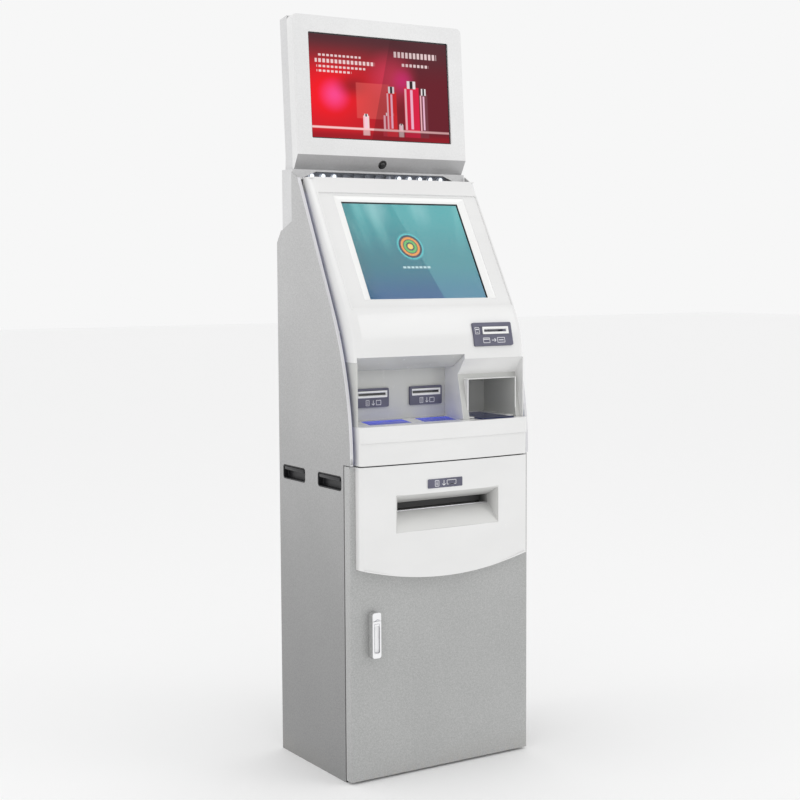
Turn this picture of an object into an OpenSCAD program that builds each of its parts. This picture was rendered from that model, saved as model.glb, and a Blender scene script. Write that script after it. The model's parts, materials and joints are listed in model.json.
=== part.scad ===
// Self-service bank kiosk: steel cabinet, lift-up white fascia with a touch screen,
// lockable lower door, and a second screen on a neck.
// x runs to the right, y runs to the back and z up; z = 0 is the floor.

/* [Cabinet] */
// Overall width of the cabinet
cabinet_w = 520; // [460:5:640]
// Depth of the steel cabinet behind the lower door's front face
cabinet_d = 350; // [330:5:450]
// Thickness of the side panels
side_t = 3; // [2:0.5:4]
// Height of the seam between the lower door and the fascia
seam_z = 766; // [740:2:840]
// Thickness of the base plate
base_t = 8; // [5:1:12]
// Radius of the anchor holes in the base plate
anchor_r = 7; // [4:0.5:9]
// Distance of the anchor holes from the side panels
anchor_inset_x = 47; // [30:1:70]
// Distance of the anchor holes from the cabinet's front and back
anchor_inset_y = 50; // [35:1:70]
// Thickness of the sheet steel used for shelves, door and back
sheet_t = 2; // [1.5:0.5:3]
// Side of the square tube in the front frame
post_w = 30; // [20:1:40]
// Wall of the square tube
post_wall = 2; // [1.5:0.5:3]

/* [Sloping front] */
// Angle by which the side rails lean back above their bend
rail_angle = 26.5; // [22:0.5:30]
// Radius of the rails' bend
rail_radius = 817; // [700:1:900]
// Width of a rail
rail_w = 8; // [6:0.5:12]
// Thickness of a rail
rail_t = 3; // [2:0.5:5]
// Width of the groove between a rail and the fascia
groove_w = 8.5; // [7:0.5:12]
// Depth of the groove down to its tinted strip
groove_depth = 12; // [8:1:16]
// Height of the top of the sloping front
console_top_z = 1454; // [1400:2:1500]
// Angle by which the fascia leans back
fascia_angle = 30; // [26:0.5:33]
// Radius of the bend under the touch screen
fascia_bend = 248; // [200:1:300]
// Height of the fascia's overhang above the reader hood
overhang_z = 1010; // [990:1:1040]
// Radius of the fascia's rounded long edges
fascia_edge_r = 18; // [10:1:24]
// Wall of the white mouldings
mould_t = 3; // [2.5:0.5:4]
// How far the bowed front of the shelf stands in front of the door
nose_out = 38; // [30:1:50]
// Radius of the shallow bow across the front
bow_r = 2800; // [2000:50:4000]
// Depth of the surround's recess
surround_depth = 4; // [2:0.5:6]

/* [Touch screen] */
// Width of the touch screen's picture
touch_w = 338; // [280:1:360]
// Height of the touch screen's picture
touch_h = 270; // [220:1:290]
// Distance from the bend to the middle of the picture
touch_s = 168; // [160:1:176]
// Width of the bezel at the sides
touch_rim = 23; // [14:1:28]

/* [Alcove and readers] */
// Height of the shelf at its front edge
shelf_z = 860; // [840:1:880]
// Depth of the receipt alcove
alcove_d = 80; // [60:1:110]
// Place of the wall between the alcove and the reader hood
divider_x = 65; // [40:1:90]
// Width of a receipt bezel
receipt_w = 94; // [84:1:104]
// Height of a receipt bezel
receipt_h = 46; // [38:1:54]
// Places of the middles of the two receipt bezels
receipt_x = [-150, 5];
// Width of the card bezel
card_w = 116; // [90:1:130]
// Height of the card bezel
card_h = 58; // [46:1:66]
// Place of the middle of the card bezel
card_x = 148; // [130:1:160]

/* [Lower door] */
// Depth of the door's folded edges
door_return = 24; // [18:1:24]
// Gap between the door's folded edge and the side panel
door_gap = 4; // [3:0.5:6]
// Half the width of the print panel
print_half = 244; // [220:1:244]
// How far the print panel stands out at its middle
print_out = 34; // [24:1:34]
// Width of the document exit's recess
chute_w = 296; // [240:1:320]
// Radius of the hinge pins
pin_r = 2; // [1.5:0.25:2.5]
// Radius of the hinge knuckles
knuckle_r = 3.9; // [3.2:0.1:4.5]
// Heights of the three door hinges
door_hinge_z = [110, 390, 700];
// Length of one knuckle of a door hinge
knuckle_l = 30; // [20:1:40]

/* [Upper display] */
// Height of the top of the upper display
head_top_z = 1855; // [1800:1:1900]
// Height of the lower edge of the upper display's front
head_z = 1512; // [1490:1:1530]
// Half the width of the upper display
head_half = 250; // [230:1:258]
// Thickness of the upper display
head_t = 64; // [50:1:75]
// Angle by which the upper display leans back
head_tilt = 3.9; // [0:0.1:8]
// Width of the upper picture
upper_w = 408; // [360:1:430]
// Height of the upper picture
upper_h = 255; // [220:1:270]
// Distance from the neck's back to the cabinet's back
neck_back = 22; // [16:1:28]
// Depth of the neck
neck_d = 56; // [48:1:62]

/* [Hidden] */
$fn = 96;

half_w = cabinet_w / 2;
inner_x = half_w - side_t;
middle_y = (cabinet_d - nose_out) / 2;      // the origin lies under the middle of the whole depth
side_front_y = door_return + door_gap;
clear = 0.3;                                // clearance between pieces that only sit beside each other
seam_gap = 2;

// the bend of the side rails, and the line above it
rail_foot_y = -6;
rail_top_y = 238;
rail_bend_z = console_top_z - rail_radius * sin(rail_angle)
    - (rail_top_y - rail_foot_y - rail_radius * (1 - cos(rail_angle))) / tan(rail_angle);
rail_rise = max(rail_bend_z - seam_z - seam_gap, 1);
rail_foot_z = rail_bend_z - rail_rise;
rail_end = bend_end([rail_foot_y, rail_bend_z], rail_radius, rail_angle);
rail_run = (console_top_z - rail_end[1]) / cos(rail_angle);

// the fascia: a bend over the overhang, then the slope that carries the touch screen
fascia_y = -13;
fascia_half = half_w - rail_w - groove_w;
fascia_end = bend_end([fascia_y, overhang_z], fascia_bend, fascia_angle);
fascia_run = (console_top_z - fascia_end[1]) / cos(fascia_angle);
fascia_depth = 66;
fascia_back_y = 241;
band_s = fascia_run - 43;                   // the step below the top band
surround_half = fascia_half - 11;
surround_low = 6;                           // height of the recess's lower edge up the slope
plate_d = surround_depth + mould_t;         // back of the surround plate
glass_d = 9.6;
glass_t = 3;
bezel_low = touch_h / 2 + 5;
bezel_high = touch_h / 2 + 17;
bezel_half = touch_w / 2 + touch_rim;

// the hinge along the fascia's top edge
fascia_pin_y = 247;
fascia_pin_z = console_top_z - 4;
fascia_knuckle_r = 5;
fascia_pin_r = 2.5;
fascia_hinge_x = [-150, 150];
fascia_knuckle_l = 40;
arm_t = 3.3;
arm_top_z = console_top_z - mould_t - 0.2;

// alcove and hood
cheek = mould_t + 0.5;
alcove_low_x = -fascia_half + cheek;
alcove_lintel_z = overhang_z + 12;
tray_front_y = -10;                         // the tray behind the nosing rises to the back
tray_drop = 6;
tray_rise = 10;
tray_back_y = alcove_d + mould_t;
tray_angle = atan(tray_rise / (tray_back_y - tray_front_y));
nosing_back_y = 12;
window_y = 42;
window_d = 60;
window_x = [[receipt_x[0] - 34, receipt_x[0] + 82], [receipt_x[1] - 34, divider_x - 2]];
hood_foot = [-1, shelf_z + clear];
reader_window_w = 96;
reader_window_y = [-22, 130];
hood_top = [24, shelf_z + 111];
hood_back_y = 140;
hood_right = fascia_half;
hood_open = [divider_x + 19, fascia_half - 18];
reader_window_x = (hood_open[0] + hood_open[1]) / 2;
hood_open_low = shelf_z + 4;
hood_open_high = shelf_z + 98;
apron_foot_z = seam_z + seam_gap;
apron_y = -34;
nose_z = shelf_z - 38;
receipt_z = shelf_z + 59;
card_z = overhang_z + 58;
card_tilt = asin((card_z - overhang_z) / fascia_bend);
card_y = fascia_y + fascia_bend * (1 - cos(card_tilt));

// stay that holds the fascia open, hung on a stud inside the fascia's right return
stay_x = fascia_half - 14;
stay_t = 3;
stay_y = 110;
stay_z = 1180;
stay_l = 180;
stay_stud_r = 3;

// lower door and its panel
door_foot_z = 6;
door_hinge_x = half_w - 4;
door_hinge_y = door_return + 5.5;
print_top_z = seam_z - 1;
print_edge_z = seam_z - 245;
print_mid_z = seam_z - 279;
chute_low = seam_z - 162;
chute_high = seam_z - 74;
chute_back_y = 46;
label_x = -12;
lock_x = -199;
lock_z = 395;
lock_w = 24;
lock_l = 110;
lock_shaft_r = 5;

// upper display and neck
neck_half = inner_x - 0.5;
neck_top_z = 1476;
neck_low_z = 1300;
neck_y = cabinet_d - neck_back - neck_d;
head_front_y = neck_y - 17.8;
head_len = (head_top_z - head_z) / cos(head_tilt);
frame_d = 28;
light_low_z = console_top_z - 2;
light_high_z = 1471;

// equipment inside the cabinet
post_inset = 15;                            // keeps the posts clear of the pull handles
shelf_front_y = 70;
printer_shelf_z = 495;
computer_shelf_z = 250;
fan_x = 120;
fan_z = 415;
fan_size = 120;
fan_d = 25;
fan_back_y = cabinet_d - sheet_t - 0.5;
inlet_x = 180;
inlet_z = 70;
switch_x = 120;
switch_tilt = 8;

// pull handles, rear screws, lower bevel of the upper display, and paper rolls
pull_w = 115;
pull_h = 36;
pull_depth = 16;
pull_z = seam_z - 44;
pull_y = [95, 273];
rear_screw_places = [for (x = [-1, 1], z = [40, 340, 640, 860, 1240]) [x * (half_w - 20), z]];
bevel_low = [neck_y + 3, neck_top_z];
bevel_angle = atan((bevel_low[0] - head_front_y) / (head_z - bevel_low[1]));
bevel_mid = [(bevel_low[0] + head_front_y) / 2, (bevel_low[1] + head_z) / 2];
lens_r = 10;
roll_r = 40;
roll_y = 190;
roll_z = receipt_z + 6;
core_r = 8;
spindle_r = 5;

function bend_end(foot, r, a) = [foot[0] + r * (1 - cos(a)), foot[1] + r * sin(a)];

// Everything is drawn with y = 0 at the lower door's front face, then put in the part's own frame
module placed() { translate([0, -middle_y, 0]) children(); }

// An outline in y and z, drawn out across x
module across(x0, x1) { translate([x0, 0, 0]) rotate([90, 0, 90]) linear_extrude(x1 - x0) children(); }

// A box from its low corner to its high corner
module block(low, high) { translate(low) cube(high - low); }

// Both sides of what is drawn for the right-hand side
module both_sides() { children(); mirror([1, 0, 0]) children(); }

module rounded(w, h, r) {
    square([w - 2 * r, h], center = true);
    square([w, h - 2 * r], center = true);
    for (sx = [-1, 1], sy = [-1, 1]) translate([sx * (w / 2 - r), sy * (h / 2 - r)]) circle(r);
}

// Points of a cross-section with x across and y inwards: a shallow bow between two rounded corners
function bowed_points(half, bow, r, depth, corner_steps = 8, bow_steps = 20) =
    let (xc = half - r, yc = bow - sqrt(pow(bow - r, 2) - xc * xc), edge = asin(xc / (bow - r)))
    concat([[half, depth]],
        [for (i = [0:corner_steps]) let (a = (90 - edge) * i / corner_steps)
            [xc + r * cos(a), yc - r * sin(a)]],
        [for (i = [1 - bow_steps:bow_steps - 1]) let (a = -edge * i / bow_steps)
            [bow * sin(a), bow - bow * cos(a)]],
        [for (i = [corner_steps:-1:0]) let (a = (90 - edge) * i / corner_steps)
            [-xc - r * cos(a), yc - r * sin(a)]],
        [[-half, depth]]);
module bowed(half, bow, r, depth) { polygon(bowed_points(half, bow, r, depth)); }

// Cross-section with x across and y inwards: flat, with rounded front corners
module flat_front(half, r, depth) {
    translate([-half, r]) square([2 * half, depth - r]);
    translate([r - half, 0]) square([2 * (half - r), depth]);
    for (s = [-1, 1]) translate([s * (half - r), r]) circle(r);
}

// Sweeps a cross-section up and back through a bend that starts upright at its foot
module sweep_bend(foot, r, a) {
    translate([0, foot[0] + r, foot[1]]) rotate([90, 0, -90]) rotate_extrude(angle = a, $fn = 360)
        translate([r, 0]) rotate(90) mirror([1, 0]) children();
}

// Sweeps a cross-section straight up, back through a bend and on along a slope
module sweep_up(foot, rise, r, a, run) {
    translate([0, foot[0], foot[1]]) linear_extrude(rise) children();
    bend = [foot[0], foot[1] + rise];
    end = bend_end(bend, r, a);
    sweep_bend(bend, r, a) children();
    translate([0, end[0], end[1]]) rotate([-a, 0, 0]) linear_extrude(run) children();
}

// Puts what is drawn with x across, y inwards and z up the slope onto the fascia's slope
module on_slope(s = 0) { translate([0, fascia_end[0], fascia_end[1]]) rotate([-fascia_angle, 0, 0])
    translate([0, 0, s]) children(); }

// The same for the upper display's front
module on_head(s = 0) { translate([0, head_front_y, head_z]) rotate([-head_tilt, 0, 0])
    translate([0, 0, s]) children(); }

// Turns a flat outline with x across and y up to face the front, then gives it a depth
module facing(y0, y1) { translate([0, y1, 0]) rotate([90, 0, 0]) linear_extrude(y1 - y0) children(); }

// Points down the rails' front at a given depth, from the foot to the top
function rail_points(depth, steps = 28) = concat(
    [[rail_foot_y + depth, rail_foot_z]],
    [for (i = [0:steps]) let (a = rail_angle * i / steps)
        [rail_foot_y + rail_radius - (rail_radius - depth) * cos(a),
            rail_bend_z + (rail_radius - depth) * sin(a)]],
    [rail_end + rail_run * [sin(rail_angle), cos(rail_angle)] + depth * [cos(rail_angle),
        -sin(rail_angle)]]);

module base_plate() {
    color("dimgray") placed() difference() {
        block([-inner_x, side_front_y, 0], [inner_x, cabinet_d - sheet_t - clear, base_t]);
        for (x = [-1, 1], y = [anchor_inset_y, cabinet_d - anchor_inset_y])
            translate([x * (half_w - anchor_inset_x), y, -1]) cylinder(r = anchor_r, h = base_t + 2);
    }
}

// Outline of a side panel in y and z
module side_outline() {
    polygon(concat([[side_front_y, 0], [side_front_y, rail_foot_z]], rail_points(rail_t + 0.2),
        [[neck_y - 1, console_top_z + 16], [neck_y - 1, console_top_z - 106],
            [neck_y + 51, console_top_z - 127],
         [cabinet_d - 22, console_top_z - 127], [cabinet_d, console_top_z - 157], [cabinet_d, 0]]));
}

module side_panel(side) {
    color("silver") placed() mirror([side < 0 ? 1 : 0, 0, 0]) difference() {
        across(inner_x, half_w) side_outline();
        for (y = pull_y) translate([inner_x - 1, y, pull_z]) rotate([90, 0, 90])
            linear_extrude(side_t + 2) rounded(pull_w, pull_h, 8);
        if (side > 0) for (z = door_hinge_z)
            block([inner_x - 1, side_front_y - 1, z - knuckle_l - 1],
                [half_w + 1, door_hinge_y + knuckle_r + 1, z + knuckle_l + 1]);
    }
}
module side_panel_left() { side_panel(-1); }
module side_panel_right() { side_panel(1); }

module side_pulls() {
    color("black") placed() both_sides() for (y = pull_y)
        translate([half_w - pull_depth, y, pull_z]) rotate([90, 0, 90]) difference() {
            linear_extrude(pull_depth) rounded(pull_w - 2 * clear, pull_h - 2 * clear, 8 - clear);
            translate([0, 0, 2]) linear_extrude(pull_depth) rounded(pull_w - 6, pull_h - 6, 5);
        }
}

module edge_rails() {
    color("white") placed() both_sides() sweep_up([rail_foot_y, rail_foot_z], rail_rise, rail_radius,
        rail_angle, rail_run)
        translate([half_w - rail_w, 0]) square([rail_w, rail_t]);
}

module groove_strips() {
    strip_x = half_w - rail_w - groove_w + 0.5;
    color("slateblue") placed() both_sides() sweep_up([rail_foot_y + groove_depth, rail_foot_z], rail_rise,
        rail_radius - groove_depth, rail_angle, rail_run - 35)
        union() {
            translate([strip_x, 0]) square([groove_w - 0.7, 3]);
            translate([half_w - rail_w - 0.2, rail_t + 0.3 - groove_depth])
                square([1.5, groove_depth - rail_t + 2.7]);
        }
}

module rear_panel() {
    vent_l = 160;
    top = console_top_z - 157;
    color("silver") placed() difference() {
        across(-inner_x + clear, inner_x - clear) polygon([[cabinet_d - sheet_t, 1], [cabinet_d, 1],
            [cabinet_d, top],
            [cabinet_d - neck_back, top + 30], [cabinet_d - neck_back - sheet_t, top + 29.4],
            [cabinet_d - sheet_t, top - 0.6]]);
        for (x = [-110, 110], i = [0:7]) translate([x, cabinet_d + 1, 900 + 24 * i]) rotate([90, 0, 0])
            linear_extrude(sheet_t + 4) rounded(vent_l, 6, 2.9);
        translate([fan_x, cabinet_d + 1, fan_z]) rotate([90, 0, 0]) for (a = [0:45:359], r = [20, 36, 52])
            rotate(a + r) translate([r, 0, 0]) cylinder(r = 5, h = sheet_t + 4);
        block([inlet_x - 14, cabinet_d - 5, inlet_z - 12], [inlet_x + 14, cabinet_d + 1, inlet_z + 12]);
        block([switch_x - 10.5, cabinet_d - 5, inlet_z - 7], [switch_x + 10.5, cabinet_d + 1, inlet_z + 7]);
        for (p = rear_screw_places) translate([p[0], cabinet_d + 1, p[1]]) rotate([90, 0, 0])
            cylinder(r = 2.5, h = sheet_t + 4);
    }
}

module rear_screws() {
    color("silver") placed() for (p = rear_screw_places) translate([p[0], cabinet_d - 0.2, p[1]])
        rotate([90, 0, 0]) {
        cylinder(r = 2.3, h = 10);
        translate([0, 0, sheet_t - 0.2]) cylinder(r = 4.5, h = 3);
    }
}

// Welded front frame: two posts and the beam behind the seam
module front_frame() {
    post_y = side_front_y + 6;
    post_x = inner_x - post_inset - post_w;
    color("gray") placed() {
        both_sides() difference() {
            block([post_x, post_y, base_t], [post_x + post_w, post_y + post_w, seam_z - 8]);
            block([post_x + post_wall, post_y + post_wall, base_t + 2],
                [post_x + post_w - post_wall, post_y + post_w - post_wall, seam_z - 10]);
        }
        difference() {
            block([-post_x, post_y, seam_z - 8 - post_w], [post_x, post_y + post_w, seam_z - 8]);
            block([-post_x - 1, post_y + post_wall, seam_z - 8 - post_w + post_wall],
                [post_x + 1, post_y + post_w - post_wall, seam_z - 8 - post_wall]);
        }
    }
}

// A folded shelf between the side panels
module shelf(z) {
    placed() difference() {
        block([-inner_x + clear, shelf_front_y, z - 18], [inner_x - clear, cabinet_d - 12, z]);
        block([-inner_x - 1, shelf_front_y + sheet_t, z - 19],
            [inner_x + 1, cabinet_d - 12 - sheet_t, z - sheet_t]);
    }
}
module printer_shelf() { color("lightgray") shelf(printer_shelf_z); }
module computer_shelf() { color("lightgray") shelf(computer_shelf_z); }

module neck_housing() {
    color("whitesmoke") placed() difference() {
        block([-neck_half, neck_y, neck_low_z], [neck_half, neck_y + neck_d - sheet_t - 0.5, neck_top_z]);
        block([-neck_half + sheet_t, neck_y + sheet_t, neck_low_z - 1],
            [neck_half - sheet_t, neck_y + neck_d - 2 * sheet_t - 0.5, neck_top_z - sheet_t]);
        translate([0, neck_y + neck_d / 2, neck_top_z - 4]) cylinder(r = 15, h = 10);
        facing(neck_y - 1, neck_y + sheet_t + 1) light_outline(0);
    }
}
// Outline of the light slot in the neck, grown by a margin
module light_outline(m) {
    polygon([[-228 - m, light_low_z - m], [228 + m, light_low_z - m], [228 + m, light_low_z + 3],
        [190 + m, light_high_z + m],
        [-190 - m, light_high_z + m], [-228 - m, light_low_z + 3]]);
}
module neck_light_cover() {
    color("lightsteelblue", 0.6) placed() facing(neck_y + sheet_t + 0.2, neck_y + sheet_t + 2.2)
        light_outline(1.5);
}
module neck_lamp_bar() {
    color("white") placed() {
        block([-215, neck_y + 24, light_low_z - 4], [215, neck_y + 26, light_high_z + 1]);
        for (i = [-6:6]) translate([i * 32, neck_y + 24, (light_low_z + light_high_z) / 2])
            rotate([90, 0, 0]) cylinder(r1 = 5, r2 = 8, h = 9);
    }
}
module console_top_plate() {
    color("whitesmoke") placed() block([-fascia_half, 256, console_top_z - 4],
        [fascia_half, neck_y - 0.2, console_top_z - 1]);
}

// Profile of the upper display's shell in y and z, from a depth behind its front to another
function head_line(d, s) = [head_front_y + s * sin(head_tilt) + d * cos(head_tilt),
    head_z + s * cos(head_tilt) - d * sin(head_tilt)];

module head_rear_cover() {
    w = 3;
    color("gainsboro") placed() difference() {
        across(-head_half, head_half) polygon([[head_front_y + frame_d + 0.5, neck_top_z],
            head_line(frame_d + 0.2, 0),
            head_line(frame_d + 0.2, head_len), head_line(head_t, head_len - 4), head_line(head_t, 0),
                [neck_y + 48, neck_top_z]]);
        across(-head_half + w, head_half - w) polygon([[head_front_y + frame_d - 1, neck_top_z + w],
            head_line(frame_d - 1, 0),
            head_line(frame_d - 1, head_len - w), head_line(head_t - w, head_len - 4 - w),
                head_line(head_t - w, 0), [neck_y + 45, neck_top_z + w]]);
        translate([0, neck_y + neck_d / 2, neck_top_z - 4]) cylinder(r = 15, h = 10);
    }
}

module head_front_frame() {
    w = 4;
    color("white") placed() difference() {
        union() {
            on_head() translate([0, frame_d, head_len / 2]) rotate([90, 0, 0]) linear_extrude(frame_d)
                rounded(2 * head_half, head_len, 14);
            across(-head_half, head_half) polygon([[head_front_y, head_z], head_line(0, 20),
                head_line(frame_d, 20), head_line(frame_d, 0),
                [head_front_y + frame_d, neck_top_z], bevel_low]);
        }
        on_head() translate([0, frame_d + 1, head_len / 2]) rotate([90, 0, 0])
            linear_extrude(frame_d - w + 1) rounded(2 * head_half - 2 * w, head_len - 2 * w, 10);
        on_head() translate([0, w + 1, head_len / 2]) rotate([90, 0, 0]) linear_extrude(w + 3)
            rounded(upper_w + 6, upper_h + 6, 3);
        across(-head_half + w, head_half - w) polygon([[head_front_y + 6, head_z - 1], head_line(w, 6),
            head_line(frame_d + 1, 6), head_line(frame_d + 1, 0),
            [head_front_y + frame_d + 1, neck_top_z + 4], [bevel_low[0] + 3, neck_top_z + 4]]);
        translate([0, bevel_mid[0], bevel_mid[1]]) rotate([90 + bevel_angle, 0, 0]) translate([0, 0, -30])
            cylinder(r = lens_r + 2, h = 60);
    }
}
module camera_module() {
    color("black") placed() translate([0, bevel_mid[0], bevel_mid[1]]) rotate([90 + bevel_angle, 0, 0]) {
        translate([0, 0, -14]) difference() {
            cylinder(r = lens_r + 1.7, h = 14.8);
            translate([0, 0, 11]) cylinder(r1 = 5, r2 = 9, h = 4);
        }
        translate([0, 0, -3]) cylinder(r = 4.8, h = 1.5);
    }
}
module upper_display() {
    color("crimson") placed() on_head(head_len / 2)
        translate([0, 4.4 + 16, 0]) rotate([90, 0, 0]) linear_extrude(16)
            rounded(upper_w + 30, upper_h + 30, 4);
}

module computer() {
    color("dimgray") placed() difference() {
        block([-180, 90, computer_shelf_z], [150, 335, computer_shelf_z + 100]);
        for (i = [0:7]) block([-150 + 30 * i, 89, computer_shelf_z + 20],
            [-138 + 30 * i, 93, computer_shelf_z + 80]);
    }
}
module power_supply() {
    color("gray") placed() difference() {
        block([-200, 150, base_t], [-50, 300, base_t + 86]);
        for (i = [0:6]) block([-185 + 18 * i, 149, base_t + 20], [-177 + 18 * i, 153, base_t + 66]);
    }
}
// Mains inlet with three flat pins, set in the rear panel
module power_inlet() {
    color("black") placed() {
        difference() {
            block([inlet_x - 13.7, cabinet_d - 30, inlet_z - 11.7],
                [inlet_x + 13.7, cabinet_d, inlet_z + 11.7]);
            block([inlet_x - 11, cabinet_d - 18, inlet_z - 8], [inlet_x + 11, cabinet_d + 1, inlet_z + 8]);
        }
        for (p = [[-7, -1.5], [0, 2.5], [7, -1.5]]) translate([inlet_x + p[0], cabinet_d - 11,
            inlet_z + p[1]]) cube([2, 14.2, 4], center = true);
        difference() {
            block([switch_x - 10.2, cabinet_d - 16, inlet_z - 6.7],
                [switch_x + 10.2, cabinet_d, inlet_z + 6.7]);
            block([switch_x - 8.4, cabinet_d - 14, inlet_z - 5],
                [switch_x + 8.4, cabinet_d + 1, inlet_z + 5]);
        }
    }
}
module mains_switch() {
    color("firebrick") placed() translate([switch_x, cabinet_d - 7, inlet_z]) rotate(-switch_tilt)
        difference() {
        block([-7.6, -3.7, -3.6], [7.6, 4.3, 3.6]);
        translate([0, 25, -6]) cylinder(r = 22, h = 12);
    }
}
module fan_frame() {
    color("black") placed() difference() {
        block([fan_x - fan_size / 2, fan_back_y - fan_d, fan_z - fan_size / 2],
            [fan_x + fan_size / 2, fan_back_y, fan_z + fan_size / 2]);
        translate([fan_x, fan_back_y + 1, fan_z]) rotate([90, 0, 0])
            cylinder(r = fan_size / 2 - 2, h = fan_d + 2);
    }
    color("black") placed() {
        for (a = [0, 90]) translate([fan_x, fan_back_y - 1.5, fan_z]) rotate([0, a, 0])
            cube([7, 3, fan_size - 4.4], center = true);
        translate([fan_x, fan_back_y, fan_z]) rotate([90, 0, 0]) cylinder(r = 16, h = 3);
        translate([fan_x, fan_back_y - 3, fan_z]) rotate([90, 0, 0]) cylinder(r = 3, h = 12);
    }
}
module fan_rotor() {
    color("dimgray") placed() translate([fan_x, fan_back_y - 4, fan_z]) rotate([90, 0, 0]) {
        difference() {
            union() {
                cylinder(r = 18, h = 17);
                for (i = [0:6]) rotate(i * 360 / 7) translate([17, 0, 8.5]) rotate([40, 0, 0])
                    translate([0, -1, -9]) cube([36, 2, 18]);
            }
            translate([0, 0, -1]) cylinder(r = 3.05, h = 13);
        }
    }
}

module document_printer() {
    color("gainsboro") placed() difference() {
        block([-190, 82, printer_shelf_z + 56], [190, 328, printer_shelf_z + 205]);
        block([-120, 81, chute_low + 46], [120, 120, chute_low + 58]);
    }
}
module paper_cassette() {
    color("lightgray") placed() difference() {
        block([-180, 86, printer_shelf_z], [180, 326, printer_shelf_z + 55]);
        block([-165, 96, printer_shelf_z + 5], [165, 316, printer_shelf_z + 56]);
        block([-40, 85, printer_shelf_z + 14], [40, 97, printer_shelf_z + 34]);
    }
}

// One knuckle of a door hinge with its leaf
module door_knuckle(low_z, leaf_low, leaf_high) {
    translate([door_hinge_x, door_hinge_y, low_z]) cylinder(r = knuckle_r, h = knuckle_l - 0.5);
    block(concat(leaf_low, low_z), concat(leaf_high, low_z + knuckle_l - 0.5));
}
// Frame halves of the lift-off hinges: each carries its pin
module door_hinge_frame_leaves() {
    color("gray") placed() for (z = door_hinge_z) {
        door_knuckle(z - knuckle_l, [inner_x - 2.6, door_hinge_y], [inner_x - 0.1, door_hinge_y + 32]);
        translate([door_hinge_x, door_hinge_y, z - knuckle_l + 1])
            cylinder(r = pin_r, h = 2 * knuckle_l - 4);
    }
}
module door_hinge_door_leaves() {
    color("gray") placed() for (z = door_hinge_z) difference() {
        door_knuckle(z, [half_w - sheet_t - 2.6, 4], [half_w - sheet_t - 0.1, door_hinge_y]);
        translate([door_hinge_x, door_hinge_y, z - 1]) cylinder(r = pin_r + 0.06, h = knuckle_l + 2);
    }
}

module fascia_hinge_arms() {
    color("gray") placed() for (x = fascia_hinge_x) difference() {
        union() {
            translate([x - fascia_knuckle_l / 2, fascia_pin_y, fascia_pin_z]) rotate([0, 90, 0])
                cylinder(r = fascia_knuckle_r, h = fascia_knuckle_l);
            block([x - fascia_knuckle_l / 2, fascia_back_y - 26, arm_top_z - arm_t],
                [x + fascia_knuckle_l / 2, fascia_pin_y, arm_top_z]);
        }
        translate([x - 30, fascia_pin_y, fascia_pin_z]) rotate([0, 90, 0])
            cylinder(r = fascia_pin_r + 0.06, h = 60);
    }
}
module fascia_hinge_brackets() {
    k = 15;
    color("gray") placed() for (x = fascia_hinge_x, s = [-1, 1]) difference() {
        union() {
            translate([x + s * (fascia_knuckle_l / 2 + 1 + k / 2) - k / 2, fascia_pin_y, fascia_pin_z])
                rotate([0, 90, 0]) cylinder(r = fascia_knuckle_r, h = k);
            translate([x + s * (fascia_knuckle_l / 2 + 1 + k / 2) - k / 2, fascia_pin_y, fascia_pin_z - 4])
                cube([k, neck_y - fascia_pin_y, 3]);
            translate([x + s * (fascia_knuckle_l / 2 + 1 + k / 2) - k / 2, neck_y - 3, fascia_pin_z - 34])
                cube([k, 2.9, 33]);
        }
        translate([x - 60, fascia_pin_y, fascia_pin_z]) rotate([0, 90, 0])
            cylinder(r = fascia_pin_r, h = 120);
    }
}
module fascia_hinge_pins() {
    color("silver") placed() for (x = fascia_hinge_x) translate([x - 34, fascia_pin_y, fascia_pin_z])
        rotate([0, 90, 0]) cylinder(r = fascia_pin_r, h = 68);
}

// White shell of the slope, round the touch screen
module fascia_shell() {
    low_s = surround_low;
    high_s = band_s;
    color("white") placed() difference() {
        union() {
            difference() {
                on_slope() linear_extrude(fascia_run + 40)
                    flat_front(fascia_half, fascia_edge_r, fascia_depth);
                on_slope() translate([0, 0, -1]) linear_extrude(fascia_run + 42)
                    translate([0, mould_t]) flat_front(fascia_half - mould_t, fascia_edge_r - mould_t,
                        fascia_depth);
            }
            on_slope() block([-surround_half - 4, mould_t - 1, low_s - 4],
                [surround_half + 4, plate_d, high_s + 4]);
            intersection() {
                across(-fascia_half + 1, fascia_half - 1)
                    polygon([[fascia_back_y - 38, console_top_z - mould_t],
                    [fascia_back_y + 1, console_top_z - mould_t], [fascia_back_y + 1, console_top_z + 1],
                        [fascia_back_y - 38, console_top_z + 1]]);
                on_slope() block([-half_w, 1, 0], [half_w, 100, fascia_run + 40]);
            }
            translate([stay_x - 2, stay_y, stay_z]) rotate([0, 90, 0])
                cylinder(r = stay_stud_r, h = fascia_half - mould_t - stay_x + 3);
        }
        on_slope() block([-surround_half, -5, low_s], [surround_half, surround_depth, high_s]);
        on_slope(touch_s) block([-bezel_half - clear, -5, -bezel_low - clear],
            [bezel_half + clear, 20, bezel_high + clear]);
        block([-half_w, -50, console_top_z], [half_w, 500, console_top_z + 100]);
        block([-half_w, fascia_back_y, overhang_z], [half_w, 500, console_top_z + 10]);
    }
}

// Bent white moulding under the slope, with the card entry and the lintel of the recess
module brow_panel() {
    color("white") placed() difference() {
        sweep_bend([fascia_y, overhang_z], fascia_bend, fascia_angle) difference() {
            flat_front(fascia_half, fascia_edge_r, fascia_depth);
            translate([0, mould_t]) flat_front(fascia_half - mould_t, fascia_edge_r - mould_t,
                fascia_depth);
        }
        translate([card_x, card_y, card_z]) rotate([-card_tilt, 0, 0]) facing(-10, 12)
            rounded(card_w + 2 * clear, card_h + 2 * clear, 4);
        block([alcove_low_x, -30, overhang_z - 2], [divider_x - 4, 20, alcove_lintel_z]);
    }
}

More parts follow.
